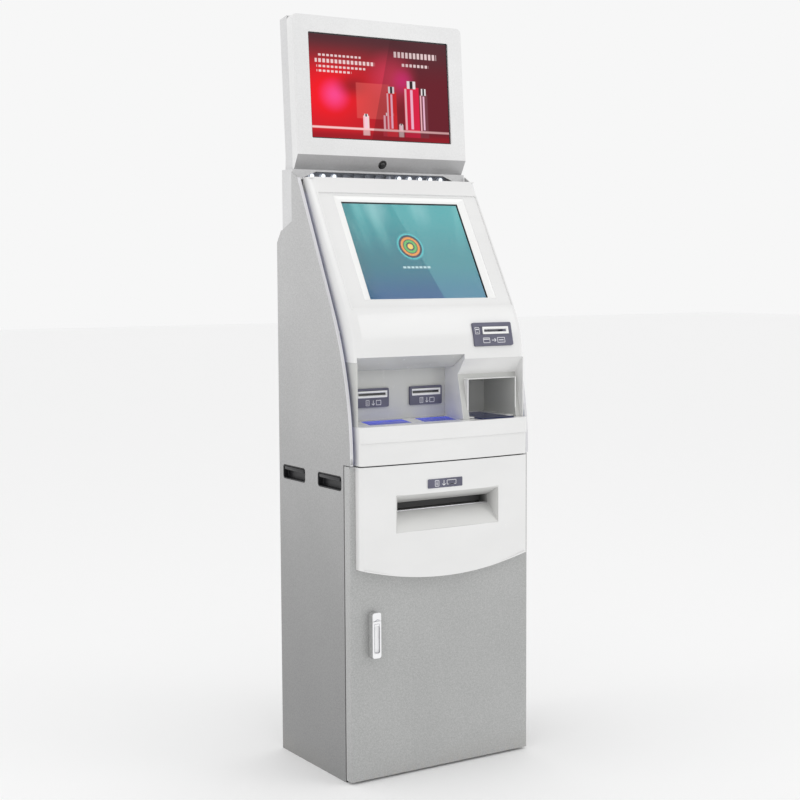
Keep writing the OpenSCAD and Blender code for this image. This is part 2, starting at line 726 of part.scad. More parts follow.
module touch_bezel() {
    face = surround_depth;
    color("white") placed() on_slope(touch_s) difference() {
        block([-bezel_half, face, -bezel_low], [bezel_half, glass_d - 0.1, bezel_high]);
        block([-touch_w / 2 - 2, -1, -touch_h / 2 - 2], [touch_w / 2 + 2, 20, touch_h / 2 + 2]);
        for (i = [0:3]) {
            m = 2 + (3 - i) * (touch_rim - 5) / 4;
            high = 2 + (3 - i) * 3;
            block([-touch_w / 2 - m, -1, -touch_h / 2 - 2.5],
                [touch_w / 2 + m, face + 1.3 * (i + 1) - 0.4, touch_h / 2 + high]);
        }
    }
}
module touch_glass() {
    color("lightsteelblue", 0.4) placed() on_slope(touch_s)
        block([-bezel_half, glass_d, -bezel_low], [bezel_half, glass_d + glass_t, bezel_high]);
}
module touch_display() {
    color("teal") placed() on_slope(touch_s)
        block([-touch_w / 2 - 10, glass_d + glass_t + 0.2, -touch_h / 2 - 5],
            [touch_w / 2 + 10, glass_d + glass_t + 30, touch_h / 2 + 10]);
}

// Puts what is drawn around the middle of the card bezel, with y inwards
module at_card() { translate([card_x, card_y, card_z]) rotate([-card_tilt, 0, 0]) children(); }

module card_bezel() {
    color("slategray") placed() at_card() difference() {
        facing(-4, 9) rounded(card_w, card_h, 4);
        facing(-6, -1.5) translate([2, 9]) rounded(card_w - 22, 20, 3);
        facing(-6, 10) translate([2, 9]) rounded(62, 4, 1.5);
    }
}
module card_reader() {
    color("gray") placed() at_card() difference() {
        block([-42, 13.5, -12], [46, 150, 30]);
        block([-29, 13, 7], [33, 140, 11]);
    }
}
module card_shutter() { color("dimgray") placed() at_card() block([-33, 9.6, 4.5], [37, 11.1, 13.5]); }

// Left side of the console's recess: back wall, ceiling and left cheek
module alcove_shell() {
    t = mould_t;
    ceiling_y = fascia_y + t + 0.9;
    back_z = overhang_z - 25;
    mid = [40, overhang_z - 20];
    color("white") placed() difference() {
        union() {
            intersection() {
                across(-fascia_half, divider_x - clear) polygon([[ceiling_y, alcove_lintel_z],
                    [ceiling_y, alcove_lintel_z + 6], mid + [0, t], [alcove_d + t, back_z + t],
                    [alcove_d + t, tray_z(alcove_d + t) + clear], [alcove_d, tray_z(alcove_d) + clear],
                    [alcove_d, back_z], mid]);
                translate([0, ceiling_y, nose_z]) linear_extrude(overhang_z)
                    flat_front(fascia_half - t - clear, fascia_edge_r - t, 2 * alcove_d);
            }
            across(-fascia_half, alcove_low_x) polygon([[-8, shelf_z + clear], [-8, overhang_z - clear],
                [alcove_d + t, overhang_z - clear], [alcove_d + t, tray_z(alcove_d + t) + clear],
                [nosing_back_y + 1, tray_z(nosing_back_y + 1) + clear],
                    [nosing_back_y + 1, shelf_z + clear]]);
        }
        for (x = receipt_x) translate([x, 0, receipt_z]) facing(alcove_d - 1, alcove_d + t + 1)
            rounded(receipt_w - 8, 18, 3);
    }
}

// Shelf, its bowed nosing and the apron under it
module shelf_apron() {
    t = mould_t;
    color("white") placed() difference() {
        union() {
            translate([0, apron_y, apron_foot_z]) linear_extrude(nose_z - apron_foot_z + 2) difference() {
                bowed(fascia_half - 0.5, bow_r, 10, 50);
                translate([0, t]) bowed(fascia_half - 0.5 - t, bow_r - t, 10 - t, 60);
            }
            difference() {
                translate([0, -nose_out, nose_z]) linear_extrude(shelf_z - nose_z)
                    bowed(fascia_half, bow_r, 10, nose_out + nosing_back_y);
                translate([0, apron_y + t, nose_z - 1]) linear_extrude(shelf_z - t - nose_z + 1)
                    bowed(fascia_half - 0.5 - t, bow_r - t, 10 - t, nosing_back_y - apron_y - 2 * t);
            }
            across(1 - fascia_half, divider_x - clear) polygon([
                [nosing_back_y - 1, tray_z(nosing_back_y - 1)], [tray_back_y, tray_z(tray_back_y)],
                [tray_back_y, tray_z(tray_back_y) - t], [nosing_back_y - 1, tray_z(nosing_back_y - 1) - t]]);
        }
        for (span = window_x) window_place(span) translate([0, 0, -8]) linear_extrude(20)
            square([span[1] - span[0] + 2 * clear, window_d + 2 * clear], center = true);
    }
}
// Height of the tray's face at a distance behind the door's front face
function tray_z(y) = shelf_z - tray_drop + (y - tray_front_y) * tan(tray_angle);
// Puts what is drawn flat onto the tray, over a span in x
module window_place(span) {
    translate([(span[0] + span[1]) / 2, window_y, tray_z(window_y)]) rotate([tray_angle, 0, 0]) children();
}

module shelf_windows() {
    color("royalblue") placed() for (span = window_x) window_place(span) translate([0, 0, -3.4])
        linear_extrude(4) square([span[1] - span[0], window_d], center = true);
}

// Hood over the document reader, at the right of the recess
module reader_hood() {
    t = mould_t;
    x1 = hood_right;
    wall_back = [[hood_back_y, shelf_z - 8], [nosing_back_y + 1, shelf_z - 8],
        [nosing_back_y + 1, hood_foot[1]]];
    chamfer_top = [-8, overhang_z - clear];
    color("white") placed() difference() {
        union() {
            across(divider_x, x1) polygon([hood_foot, hood_top, chamfer_top, chamfer_top + [t + 1, 0],
                hood_top + [t + 2, 2], hood_foot + [t + 1, 0]]);
            across(divider_x, divider_x + t) polygon(concat([hood_foot, hood_top, chamfer_top,
                [chamfer_top[0], alcove_lintel_z + 4], [hood_back_y, alcove_lintel_z + 4]], wall_back));
            across(x1 - t, x1) polygon(concat([[chamfer_top[0], hood_foot[1]], chamfer_top,
                [hood_back_y, chamfer_top[1]]], wall_back));
            block([hood_open[0] - t, hood_foot[0] + 5, hood_open_low - t],
                [hood_open[1] + t, hood_back_y, hood_open_high + t - 2]);
        }
        across(hood_open[0], hood_open[1]) polygon([[hood_foot[0] - 10, hood_open_low],
            [hood_back_y - t, hood_open_low], [hood_back_y - t, hood_open_high - 16],
            [60, hood_open_high - 2], [hood_foot[0] - 10, hood_open_high]]);
        block([hood_open[0], hood_foot[0] - 10, shelf_z - 1],
            [hood_open[1], hood_foot[0] + 12, hood_open_low + 1]);
        block([reader_window_x - reader_window_w / 2 - clear, reader_window_y[0] - 1, shelf_z - 9],
            [reader_window_x + reader_window_w / 2 + clear, reader_window_y[1] + clear, hood_open_low + 1]);
    }
}
module reader_window() {
    color("navy") placed() block([reader_window_x - reader_window_w / 2, reader_window_y[0], shelf_z],
        [reader_window_x + reader_window_w / 2, reader_window_y[1], shelf_z + 3]);
}
module document_reader() {
    color("dimgray") placed() block([hood_open[0] + 5, 24, apron_foot_z + 6],
        [hood_open[1] - 5, 132, shelf_z - 8]);
}

module receipt_bezel(x) {
    color("slategray") placed() translate([x, 0, receipt_z]) difference() {
        union() {
            facing(alcove_d - 6, alcove_d - 0.1) rounded(receipt_w, receipt_h, 4);
            facing(alcove_d - 1, alcove_d + 12) rounded(receipt_w - 8.6, 17.4, 2.7);
        }
        facing(alcove_d - 7, alcove_d - 3) translate([0, 9]) rounded(receipt_w - 10, 17, 3);
        facing(alcove_d - 7, alcove_d + 13) translate([0, 4]) rounded(80, 4, 1.5);
    }
}
module receipt_bezel_left() { receipt_bezel(receipt_x[0]); }
module receipt_bezel_right() { receipt_bezel(receipt_x[1]); }

// Receipt printer: mechanism behind the bezel and a bracket that carries the paper roll's spindle
module receipt_printer(x) {
    color("dimgray") placed() {
        difference() {
            block([x - 55, alcove_d + 13, receipt_z - 32], [x + 55, alcove_d + 58, receipt_z + 38]);
            block([x - 41, alcove_d + 12, receipt_z + 2], [x + 41, alcove_d + 59, receipt_z + 6]);
        }
        for (s = [-1, 1]) block([x + s * 48 - 1.5, alcove_d + 57, roll_z - 12],
            [x + s * 48 + 1.5, roll_y + 12, roll_z + 12]);
        translate([x - 48, roll_y, roll_z]) rotate([0, 90, 0]) cylinder(r = spindle_r, h = 96);
    }
}
module receipt_printer_left() { receipt_printer(receipt_x[0]); }
module receipt_printer_right() { receipt_printer(receipt_x[1]); }

module paper_roll(x) {
    color("ivory") placed() translate([x - 40, roll_y, roll_z]) rotate([0, 90, 0]) difference() {
        cylinder(r = roll_r, h = 80);
        translate([0, 0, -1]) cylinder(r = spindle_r + 0.08, h = 82);
        translate([0, 0, -1]) cylinder(r = core_r, h = 2);
        translate([0, 0, 79]) cylinder(r = core_r, h = 2);
    }
}
module paper_roll_left() { paper_roll(receipt_x[0]); }
module paper_roll_right() { paper_roll(receipt_x[1]); }

// Stay that folds out of the fascia to hold it open
module prop_stay() {
    color("silver") placed() difference() {
        union() {
            for (z = [stay_z, stay_z - stay_l]) translate([stay_x, stay_y, z]) rotate([0, 90, 0])
                cylinder(r = 8, h = stay_t);
            translate([stay_x, stay_y - 5, stay_z - stay_l]) cube([stay_t, 10, stay_l]);
        }
        translate([stay_x - 1, stay_y, stay_z]) rotate([0, 90, 0])
            cylinder(r = stay_stud_r + 0.06, h = stay_t + 2);
    }
}

module door_panel() {
    color("silver") placed() difference() {
        block([-half_w, 0, door_foot_z], [half_w, door_return, seam_z]);
        block([-half_w + sheet_t, sheet_t, door_foot_z + sheet_t],
            [half_w - sheet_t, door_return + 1, seam_z - sheet_t]);
        block([-chute_w / 2 - 3, -1, chute_low - 3], [chute_w / 2 + 3, sheet_t + 1, chute_high + 3]);
        translate([lock_x, -1, lock_z]) rotate([-90, 0, 0]) cylinder(r = lock_shaft_r + 2, h = 10);
    }
}

// Bowed white panel on the lower door, with a curved lower edge
module print_panel() {
    t = mould_t;
    sag_r = (pow(print_half, 2) + pow(print_edge_z - print_mid_z, 2)) / (2 * (print_edge_z - print_mid_z));
    color("white") placed() difference() {
        intersection() {
            translate([0, -print_out, print_mid_z]) linear_extrude(print_top_z - print_mid_z) difference() {
                bowed(print_half, bow_r, 10, print_out - 0.1);
                translate([0, t]) bowed(print_half - t, bow_r - t, 10 - t, print_out + 10);
            }
            facing(-print_out - 5, 5) union() {
                translate([0, print_mid_z + sag_r]) circle(sag_r, $fn = 360);
                translate([-print_half - 5, print_edge_z + 5]) square([2 * print_half + 10, 400]);
            }
        }
        facing(-print_out - 5, 0) translate([0, (chute_low + chute_high) / 2])
            rounded(chute_w + 0.6, chute_high - chute_low + 0.6, 6);
    }
    color("white") placed() intersection() {
        facing(-print_out + 4, -0.1) difference() {
            translate([0, print_mid_z + sag_r]) circle(sag_r - 0.5, $fn = 360);
            translate([0, print_mid_z + sag_r]) circle(sag_r - 3.5, $fn = 360);
        }
        block([-print_half + 8, -print_out, print_mid_z - 5], [print_half - 8, 0, print_edge_z]);
    }
}

// Recess for the printed document: sloping floor, side walls and the exit slot at its back
module print_chute() {
    t = 2.5;
    color("lightgray") placed() difference() {
        facing(-print_out + 2, chute_back_y) translate([0, (chute_low + chute_high) / 2])
            rounded(chute_w, chute_high - chute_low, 5.5);
        across(-chute_w / 2 + t, chute_w / 2 - t) polygon([[-print_out - 5, chute_low + t],
            [-print_out + 8, chute_low + t], [chute_back_y - t, chute_low + 42],
            [chute_back_y - t, chute_high - 12], [-print_out + 8, chute_high - t],
                [-print_out - 5, chute_high - t]]);
        block([-125, chute_back_y - 10, chute_low + 48], [125, chute_back_y + 1, chute_low + 62]);
        across(-chute_w / 2 - 1, chute_w / 2 + 1) polygon([[-print_out + 20, chute_low - 1],
            [chute_back_y + 1, chute_low - 1], [chute_back_y + 1, chute_low + 38]]);
    }
}
module print_label() {
    color("slategray") placed() translate([label_x, 0, seam_z - 51.5])
        facing(-print_out - 1.25, -print_out - 0.05) rounded(100, 22, 2);
}

module lock_escutcheon() {
    color("gainsboro") placed() translate([lock_x, 0, lock_z - lock_l / 2 + 20]) difference() {
        facing(-8, -0.1) rounded(lock_w, lock_l, 6);
        facing(-9, 1) translate([0, lock_l / 2 - 20]) circle(lock_shaft_r + 0.06);
    }
}
module lock_handle() {
    color("whitesmoke") placed() translate([lock_x, 0, lock_z]) difference() {
        union() {
            translate([0, 0, 20 - lock_l / 2]) facing(-20, -8.6) rounded(lock_w, lock_l, 6);
            facing(-9, 14) circle(lock_shaft_r);
        }
        translate([0, 0, -lock_l / 2 + 10]) facing(-21, -17) rounded(lock_w - 8, lock_l - 44, 4);
        translate([0, 0, 0]) facing(-21, -18) rounded(lock_w + 2, 1.6, 0.7);
    }
}
module lock_cam() {
    color("silver") placed() translate([lock_x, 0, lock_z]) facing(14.1, 17.1) {
        circle(11);
        translate([-9, -42]) square([18, 42]);
    }
}

base_plate();
side_panel_left();
side_panel_right();
side_pulls();
edge_rails();
groove_strips();
rear_panel();
rear_screws();
front_frame();
printer_shelf();
computer_shelf();
neck_housing();
neck_light_cover();
neck_lamp_bar();
console_top_plate();
head_rear_cover();
head_front_frame();
upper_display();
camera_module();
computer();
power_supply();
power_inlet();
fan_frame();
document_printer();
paper_cassette();
door_hinge_frame_leaves();
fascia_hinge_brackets();
fascia_hinge_pins();
mains_switch();
fan_rotor();
fascia_shell();
brow_panel();
touch_bezel();
touch_glass();
touch_display();
card_bezel();
card_reader();
card_shutter();
alcove_shell();
shelf_apron();
shelf_windows();
reader_hood();
reader_window();
document_reader();
receipt_bezel_left();
receipt_bezel_right();
receipt_printer_left();
receipt_printer_right();
paper_roll_left();
paper_roll_right();
fascia_hinge_arms();
prop_stay();
door_panel();
print_panel();
print_chute();
print_label();
door_hinge_door_leaves();
lock_escutcheon();
lock_handle();
lock_cam();
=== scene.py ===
"""Looks of a self-service bank kiosk: painted steel cabinet, white mouldings, two lit screens."""
import json
import math

import bmesh
import bpy
import numpy as np
from mathutils import Matrix, Vector

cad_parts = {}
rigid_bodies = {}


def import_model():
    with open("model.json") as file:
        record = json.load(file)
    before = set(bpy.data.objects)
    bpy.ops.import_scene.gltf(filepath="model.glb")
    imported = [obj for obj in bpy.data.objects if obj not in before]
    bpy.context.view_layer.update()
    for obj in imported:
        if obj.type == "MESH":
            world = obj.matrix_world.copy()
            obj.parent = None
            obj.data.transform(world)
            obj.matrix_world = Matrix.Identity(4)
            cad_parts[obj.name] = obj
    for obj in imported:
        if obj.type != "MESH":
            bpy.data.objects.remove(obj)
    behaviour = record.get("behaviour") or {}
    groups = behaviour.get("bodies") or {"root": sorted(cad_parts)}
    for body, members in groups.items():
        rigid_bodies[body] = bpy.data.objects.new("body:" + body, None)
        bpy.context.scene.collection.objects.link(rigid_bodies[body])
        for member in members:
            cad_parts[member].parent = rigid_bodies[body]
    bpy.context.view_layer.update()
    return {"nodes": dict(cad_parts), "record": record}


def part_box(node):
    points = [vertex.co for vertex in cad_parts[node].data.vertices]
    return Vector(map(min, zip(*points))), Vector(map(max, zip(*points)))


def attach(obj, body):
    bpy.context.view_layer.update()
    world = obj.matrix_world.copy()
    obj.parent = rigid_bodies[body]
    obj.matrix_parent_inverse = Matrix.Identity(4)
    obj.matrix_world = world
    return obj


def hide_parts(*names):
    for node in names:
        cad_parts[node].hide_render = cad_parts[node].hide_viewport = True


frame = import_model()
NODES = frame["nodes"]
BODY_OF = {node: body for body, nodes in frame["record"]["behaviour"]["bodies"].items() for node in nodes}
MM = 0.001


# ---------------------------------------------------------------- shader maths

class Value:
    """One output in a material, usable in plain arithmetic."""

    def __init__(self, finish, socket):
        self.finish, self.socket = finish, socket

    def out(self, number):
        """Another output of the same node."""
        return Value(self.finish, self.socket.node.outputs[number])

    def maths(self, operation, *values):
        return self.finish.node("ShaderNodeMath", {"operation": operation}, *values)

    def __add__(self, other): return self.maths("ADD", self, other)
    def __sub__(self, other): return self.maths("SUBTRACT", self, other)
    def __mul__(self, other): return self.maths("MULTIPLY", self, other)
    def __truediv__(self, other): return self.maths("DIVIDE", self, other)
    def __pow__(self, other): return self.maths("POWER", self, other)
    def __abs__(self): return self.maths("ABSOLUTE", self)
    def __radd__(self, other): return self.maths("ADD", other, self)
    def __rsub__(self, other): return self.maths("SUBTRACT", other, self)
    def __rmul__(self, other): return self.maths("MULTIPLY", other, self)


class Finish:
    """A surface finish: one principled shader and the nodes that feed it."""

    def __init__(self, name, **constants):
        self.material = bpy.data.materials.new(name)
        self.material.use_nodes = True
        self.tree = self.material.node_tree
        self.shader = self.tree.nodes["Principled BSDF"]
        self.feed(**constants)

    def put(self, socket, value):
        if isinstance(value, Value):
            self.tree.links.new(value.socket, socket)
        elif isinstance(value, tuple) and len(socket.default_value) == 4:
            socket.default_value = (*value[:3], 1.0)
        else:
            socket.default_value = value

    def node(self, kind, settings=None, *values, **named):
        """Adds a node with its settings; values fill its sockets in order, named ones by their label."""
        made = self.tree.nodes.new(kind)
        for label, value in (settings or {}).items():
            setattr(made, label, value)
        for i, value in enumerate(values):
            if value is not None:
                self.put(made.inputs[i], value)
        for label, value in named.items():
            self.put(made.inputs[label.replace("_", " ")], value)
        return Value(self, made.outputs[0])

    def feed(self, **sockets):
        for label, value in sockets.items():
            self.put(self.shader.inputs[label.replace("_", " ")], value)
        return self

    def place(self):
        """Object coordinates."""
        return self.node("ShaderNodeTexCoord").out(3)

    def axes(self, place):
        parts = self.node("ShaderNodeSeparateXYZ", None, place)
        return [parts.out(i) for i in range(3)]

    def sheet(self):
        """The piece's own map: u across and v up."""
        return self.axes(self.node("ShaderNodeTexCoord").out(2))[:2]

    def noise(self, place, scale, detail=3.0, roughness=0.5):
        return self.node("ShaderNodeTexNoise", None, Vector=place, Scale=scale, Detail=detail,
                         Roughness=roughness)

    def stretched(self, place, size):
        return self.node("ShaderNodeMapping", None, Vector=place, Scale=size)

    def ramp(self, value, low, high, bottom=0.0, top=1.0, smooth=True):
        """Takes a value from low..high to bottom..top, held level outside."""
        kind = "SMOOTHSTEP" if smooth else "LINEAR"
        return self.node("ShaderNodeMapRange", {"interpolation_type": kind}, value, low, high, bottom, top)

    def blend(self, factor, first, second):
        settings = {"data_type": "RGBA", "clamp_factor": True}
        unused = [None] * 5
        return self.node("ShaderNodeMix", settings, factor, *unused, first, second).out(2)

    def toned(self, colour, tone):
        """A colour made darker or lighter by a value."""
        return self.node("ShaderNodeVectorMath", {"operation": "SCALE"}, tuple(colour), Scale=tone)

    def bump(self, height, strength, distance):
        return self.node("ShaderNodeBump", None, Strength=strength, Distance=distance, Height=height)


def shade(red, green, blue):
    """A colour as it looks on a display, 0 to 255, turned into light."""
    return tuple((c / 255 / 12.92) if c < 11 else ((c / 255 + 0.055) / 1.055) ** 2.4
                 for c in (red, green, blue))


def scaled(colour, k):
    return tuple(c * k for c in colour)


# ---------------------------------------------------------------- finishes

def powder_coat(name, colour, rough=0.42, metallic=0.0, speckle=0.10, low=1.0, high=1.0):
    """Baked powder paint: an orange-peel skin, a speckle, dust and scuffs near the floor, and between low and
    high a painted shade at the foot rising to painted light at the top.
    """
    f = Finish(name, Metallic=metallic, Coat_Weight=0.12, Coat_Roughness=0.3)
    at = f.place()
    z = f.axes(at)[2]
    grain = f.noise(at, 700.0, 2.0)
    coarse = f.noise(at, 230.0, 2.0)
    cloud = f.noise(at, 5.0, 4.0)
    tone = f.ramp(grain, 0.36, 0.64, 1.0 - speckle, 1.0 + speckle)
    tone = tone * f.ramp(coarse, 0.35, 0.65, 1.0 - speckle * 0.5, 1.0 + speckle * 0.5)
    # the height ramp from low to high is painted shade near the floor and painted light higher up
    tone = tone * f.ramp(cloud, 0.3, 0.7, 0.97, 1.03) * f.ramp(z, 0.1, 1.35, low, high)
    streak = f.noise(f.stretched(at, (1.0, 1.0, 5.0)), 34.0, 6.0, 0.65)
    scuff = f.ramp(streak, 0.60, 0.75) * f.ramp(z, 0.20, 0.0)
    dust = f.ramp(z, 0.07, 0.0, 0.0, 0.30) * f.ramp(cloud, 0.35, 0.75)
    worn = f.blend(scuff * 0.4, f.toned(colour, tone), scaled(colour, 0.6))
    f.feed(Base_Color=f.blend(dust, worn, (0.36, 0.34, 0.31)))
    f.feed(Roughness=rough + (cloud - 0.5) * 0.12 + dust * 0.25)
    f.feed(Normal=f.bump(grain + coarse * 1.5, 0.16, 0.0004))
    return f.material


def moulded_gloss(name, colour, rough=0.22, coat=0.35):
    """Glossy moulded plastic: faint flow marks and handling marks."""
    f = Finish(name, Coat_Weight=coat, Coat_Roughness=0.06, IOR=1.5)
    at = f.place()
    flow = f.noise(f.stretched(at, (0.6, 1.0, 1.6)), 5.0, 3.0)
    fine = f.noise(at, 420.0, 3.0)
    streak = f.noise(f.stretched(at, (1.0, 1.0, 0.3)), 90.0, 7.0, 0.7)
    marks = f.ramp(streak, 0.60, 0.74)
    tone = f.ramp(flow, 0.3, 0.7, 0.975, 1.02)
    f.feed(Base_Color=f.blend(marks * 0.07, f.toned(colour, tone), scaled(colour, 0.72)))
    f.feed(Roughness=rough + (flow - 0.5) * 0.08 + marks * 0.10)
    f.feed(Normal=f.bump(flow * 2.0 + fine * 0.12, 0.05, 0.001))
    return f.material


def satin_plastic(name, colour, rough=0.48, grain_size=1500.0):
    """Spark-eroded satin plastic."""
    f = Finish(name, IOR=1.47)
    at = f.place()
    grain = f.noise(at, grain_size, 2.0)
    cloud = f.noise(at, 22.0, 4.0)
    tone = f.ramp(cloud, 0.3, 0.7, 0.90, 1.10)
    f.feed(Base_Color=f.toned(colour, tone), Roughness=rough + (cloud - 0.5) * 0.16)
    f.feed(Normal=f.bump(grain, 0.22, 0.0002))
    return f.material


def chute_finish(name, colour):
    """Satin grey plastic of the document exit, darker towards the slot at the back: painted shade and painted
    reflection of the recess.
    """
    f = Finish(name, IOR=1.47, Coat_Weight=0.3, Coat_Roughness=0.2)
    at = f.place()
    y = f.axes(at)[1]
    low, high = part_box("print_chute")
    cloud = f.noise(f.stretched(at, (0.4, 1.0, 1.0)), 40.0, 4.0)
    # darker with depth towards the slot: painted shade and painted reflection
    depth = f.ramp(y + (cloud - 0.5) * 0.006, low.y + 0.004, high.y, 1.0, 0.10)
    f.feed(Base_Color=f.toned(colour, depth), Roughness=0.34 + (cloud - 0.5) * 0.1)
    f.feed(Normal=f.bump(f.noise(at, 1500.0, 2.0), 0.15, 0.0002))
    return f.material


def zinc_plate(name, colour=(0.62, 0.63, 0.64), rough=0.34):
    """Zinc-plated sheet: crystal patches and a rolling direction."""
    f = Finish(name, Metallic=1.0)
    at = f.place()
    cells = f.node("ShaderNodeTexVoronoi", None, Vector=at, Scale=95.0).out(1)
    patch = f.node("ShaderNodeSeparateColor", None, cells)
    lines = f.noise(f.stretched(at, (2.0, 60.0, 900.0)), 1.0, 3.0)
    tone = f.ramp(patch, 0.0, 1.0, 0.86, 1.08, smooth=False) * f.ramp(lines, 0.3, 0.7, 0.95, 1.05)
    f.feed(Base_Color=f.toned(colour, tone))
    f.feed(Roughness=rough + (patch - 0.5) * 0.12, Normal=f.bump(lines, 0.08, 0.0002))
    return f.material


def brushed_metal(name, colour=(0.72, 0.72, 0.74), rough=0.2, direction=(900.0, 30.0, 30.0)):
    """Brushed and lightly polished metal, with its lines across the stated direction."""
    f = Finish(name, Metallic=1.0)
    at = f.place()
    lines = f.noise(f.stretched(at, direction), 1.0, 4.0, 0.6)
    smear = f.noise(at, 26.0, 3.0)
    f.feed(Base_Color=f.toned(colour, f.ramp(lines, 0.25, 0.75, 0.90, 1.06)))
    f.feed(Roughness=rough + (lines - 0.5) * 0.12 + (smear - 0.5) * 0.14)
    f.feed(Normal=f.bump(lines, 0.06, 0.0002))
    return f.material


def roll_paper(name):
    """Wound thermal paper: fine rings on the ends and a cardboard core."""
    f = Finish(name, Roughness=0.75)
    x, y, z = f.axes(f.place())
    low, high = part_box("paper_roll_left")
    dy = y - (low.y + high.y) / 2
    dz = z - (low.z + high.z) / 2
    out = (dy * dy + dz * dz) ** 0.5
    rings = f.noise(f.node("ShaderNodeCombineXYZ", None, out * 2600.0), 1.0, 3.0)
    core = f.ramp(out, 0.0085, 0.0092, smooth=False)
    paper = f.blend(f.ramp(rings, 0.3, 0.7, 0.0, 0.4), (0.84, 0.84, 0.81), (0.62, 0.62, 0.60))
    f.feed(Base_Color=f.blend(core, (0.36, 0.24, 0.14), paper), Normal=f.bump(rings, 0.2, 0.0002))
    return f.material


def painted_glow_window(name, colour, front_painted_shade=0.7, glow=0.55):
    """Coloured clear window that glows with no lamp behind it, lighter towards the back: painted glow and
    painted shade.
    """
    f = Finish(name, Coat_Weight=0.25, Coat_Roughness=0.05, IOR=1.3)
    at = f.place()
    y = f.axes(at)[1]
    low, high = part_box("shelf_windows")
    cloud = f.noise(at, 30.0, 3.0)
    # darker at the front and lighter at the back: painted shade and light
    tone = f.ramp(y, low.y, high.y, front_painted_shade, 1.3) * f.ramp(cloud, 0.3, 0.7, 0.9, 1.1)
    tint = f.toned(colour, tone)
    # the emission is painted glow, there is no lamp under the window
    f.feed(Base_Color=tint, Roughness=0.25 + (cloud - 0.5) * 0.1, Emission_Color=tint, Emission_Strength=glow)
    return f.material


def clear_cover(name, tint=(0.92, 0.96, 0.97), share=0.12):
    """Clear cover: it mirrors at a glance and shows what lies behind."""
    f = Finish(name, Metallic=1.0)
    smear = f.noise(f.place(), 12.0, 5.0, 0.6)
    rim = f.node("ShaderNodeFresnel", None, 1.5)
    f.feed(Base_Color=tint, Roughness=0.02 + f.ramp(smear, 0.55, 0.8) * 0.05, Alpha=rim * share + 0.01)
    return f.material


def lamp_board(name, glow=(0.86, 0.93, 1.0)):
    """Lamp board: a slate strip with light only in its round cups."""
    f = Finish(name, Roughness=0.4)
    x, y, z = f.axes(f.place())
    low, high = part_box("neck_lamp_bar")
    pitch = (high.x - low.x) / 13.4
    across = abs(x - (x / pitch).maths("ROUND", x / pitch) * pitch)
    up = abs(z - (low.z + high.z + 0.003) / 2)
    spot = f.ramp((across * across + up * up) ** 0.5, 0.0035, 0.0075, 1.0, 0.0)
    spot = spot * f.ramp(y, high.y - 0.0015, high.y - 0.003) * f.ramp(abs(x + 0.04), 0.07, 0.09)
    cloud = f.noise(f.place(), 60.0, 3.0)
    f.feed(Base_Color=f.blend(cloud, shade(120, 124, 140), shade(150, 154, 168)))
    f.feed(Emission_Color=f.toned(glow, spot), Emission_Strength=1.6)
    return f.material


def floor_paint(name):
    f = Finish(name, Roughness=0.8)
    f.feed(Base_Color=f.blend(f.noise(f.place(), 3.0) * 0.05, (0.96, 0.96, 0.96), (0.92, 0.92, 0.92)))
    return f.material


# ---------------------------------------------------------------- lit pictures

def patch(f, u, v, middle, half, edge=0.006):
    """1 inside a box on the picture and 0 outside, with a soft edge."""
    across = f.ramp(abs(u - middle[0]), half[0], half[0] + edge, 1.0, 0.0)
    return across * f.ramp(abs(v - middle[1]), half[1], half[1] + edge, 1.0, 0.0)


def glow(f, u, v, middle, size, aspect=1.5):
    du = (u - middle[0]) * aspect
    dv = v - middle[1]
    return f.ramp((du * du + dv * dv) ** 0.5, 0.0, size, 1.0, 0.0)


def lit(f, colour, strength=1.0):
    """Sends a colour out as light from under a smooth black front."""
    f.feed(Base_Color=(0.002, 0.002, 0.003), Emission_Color=colour, Emission_Strength=strength)
    f.feed(Roughness=0.4, Specular_IOR_Level=0.1)
    return f.material


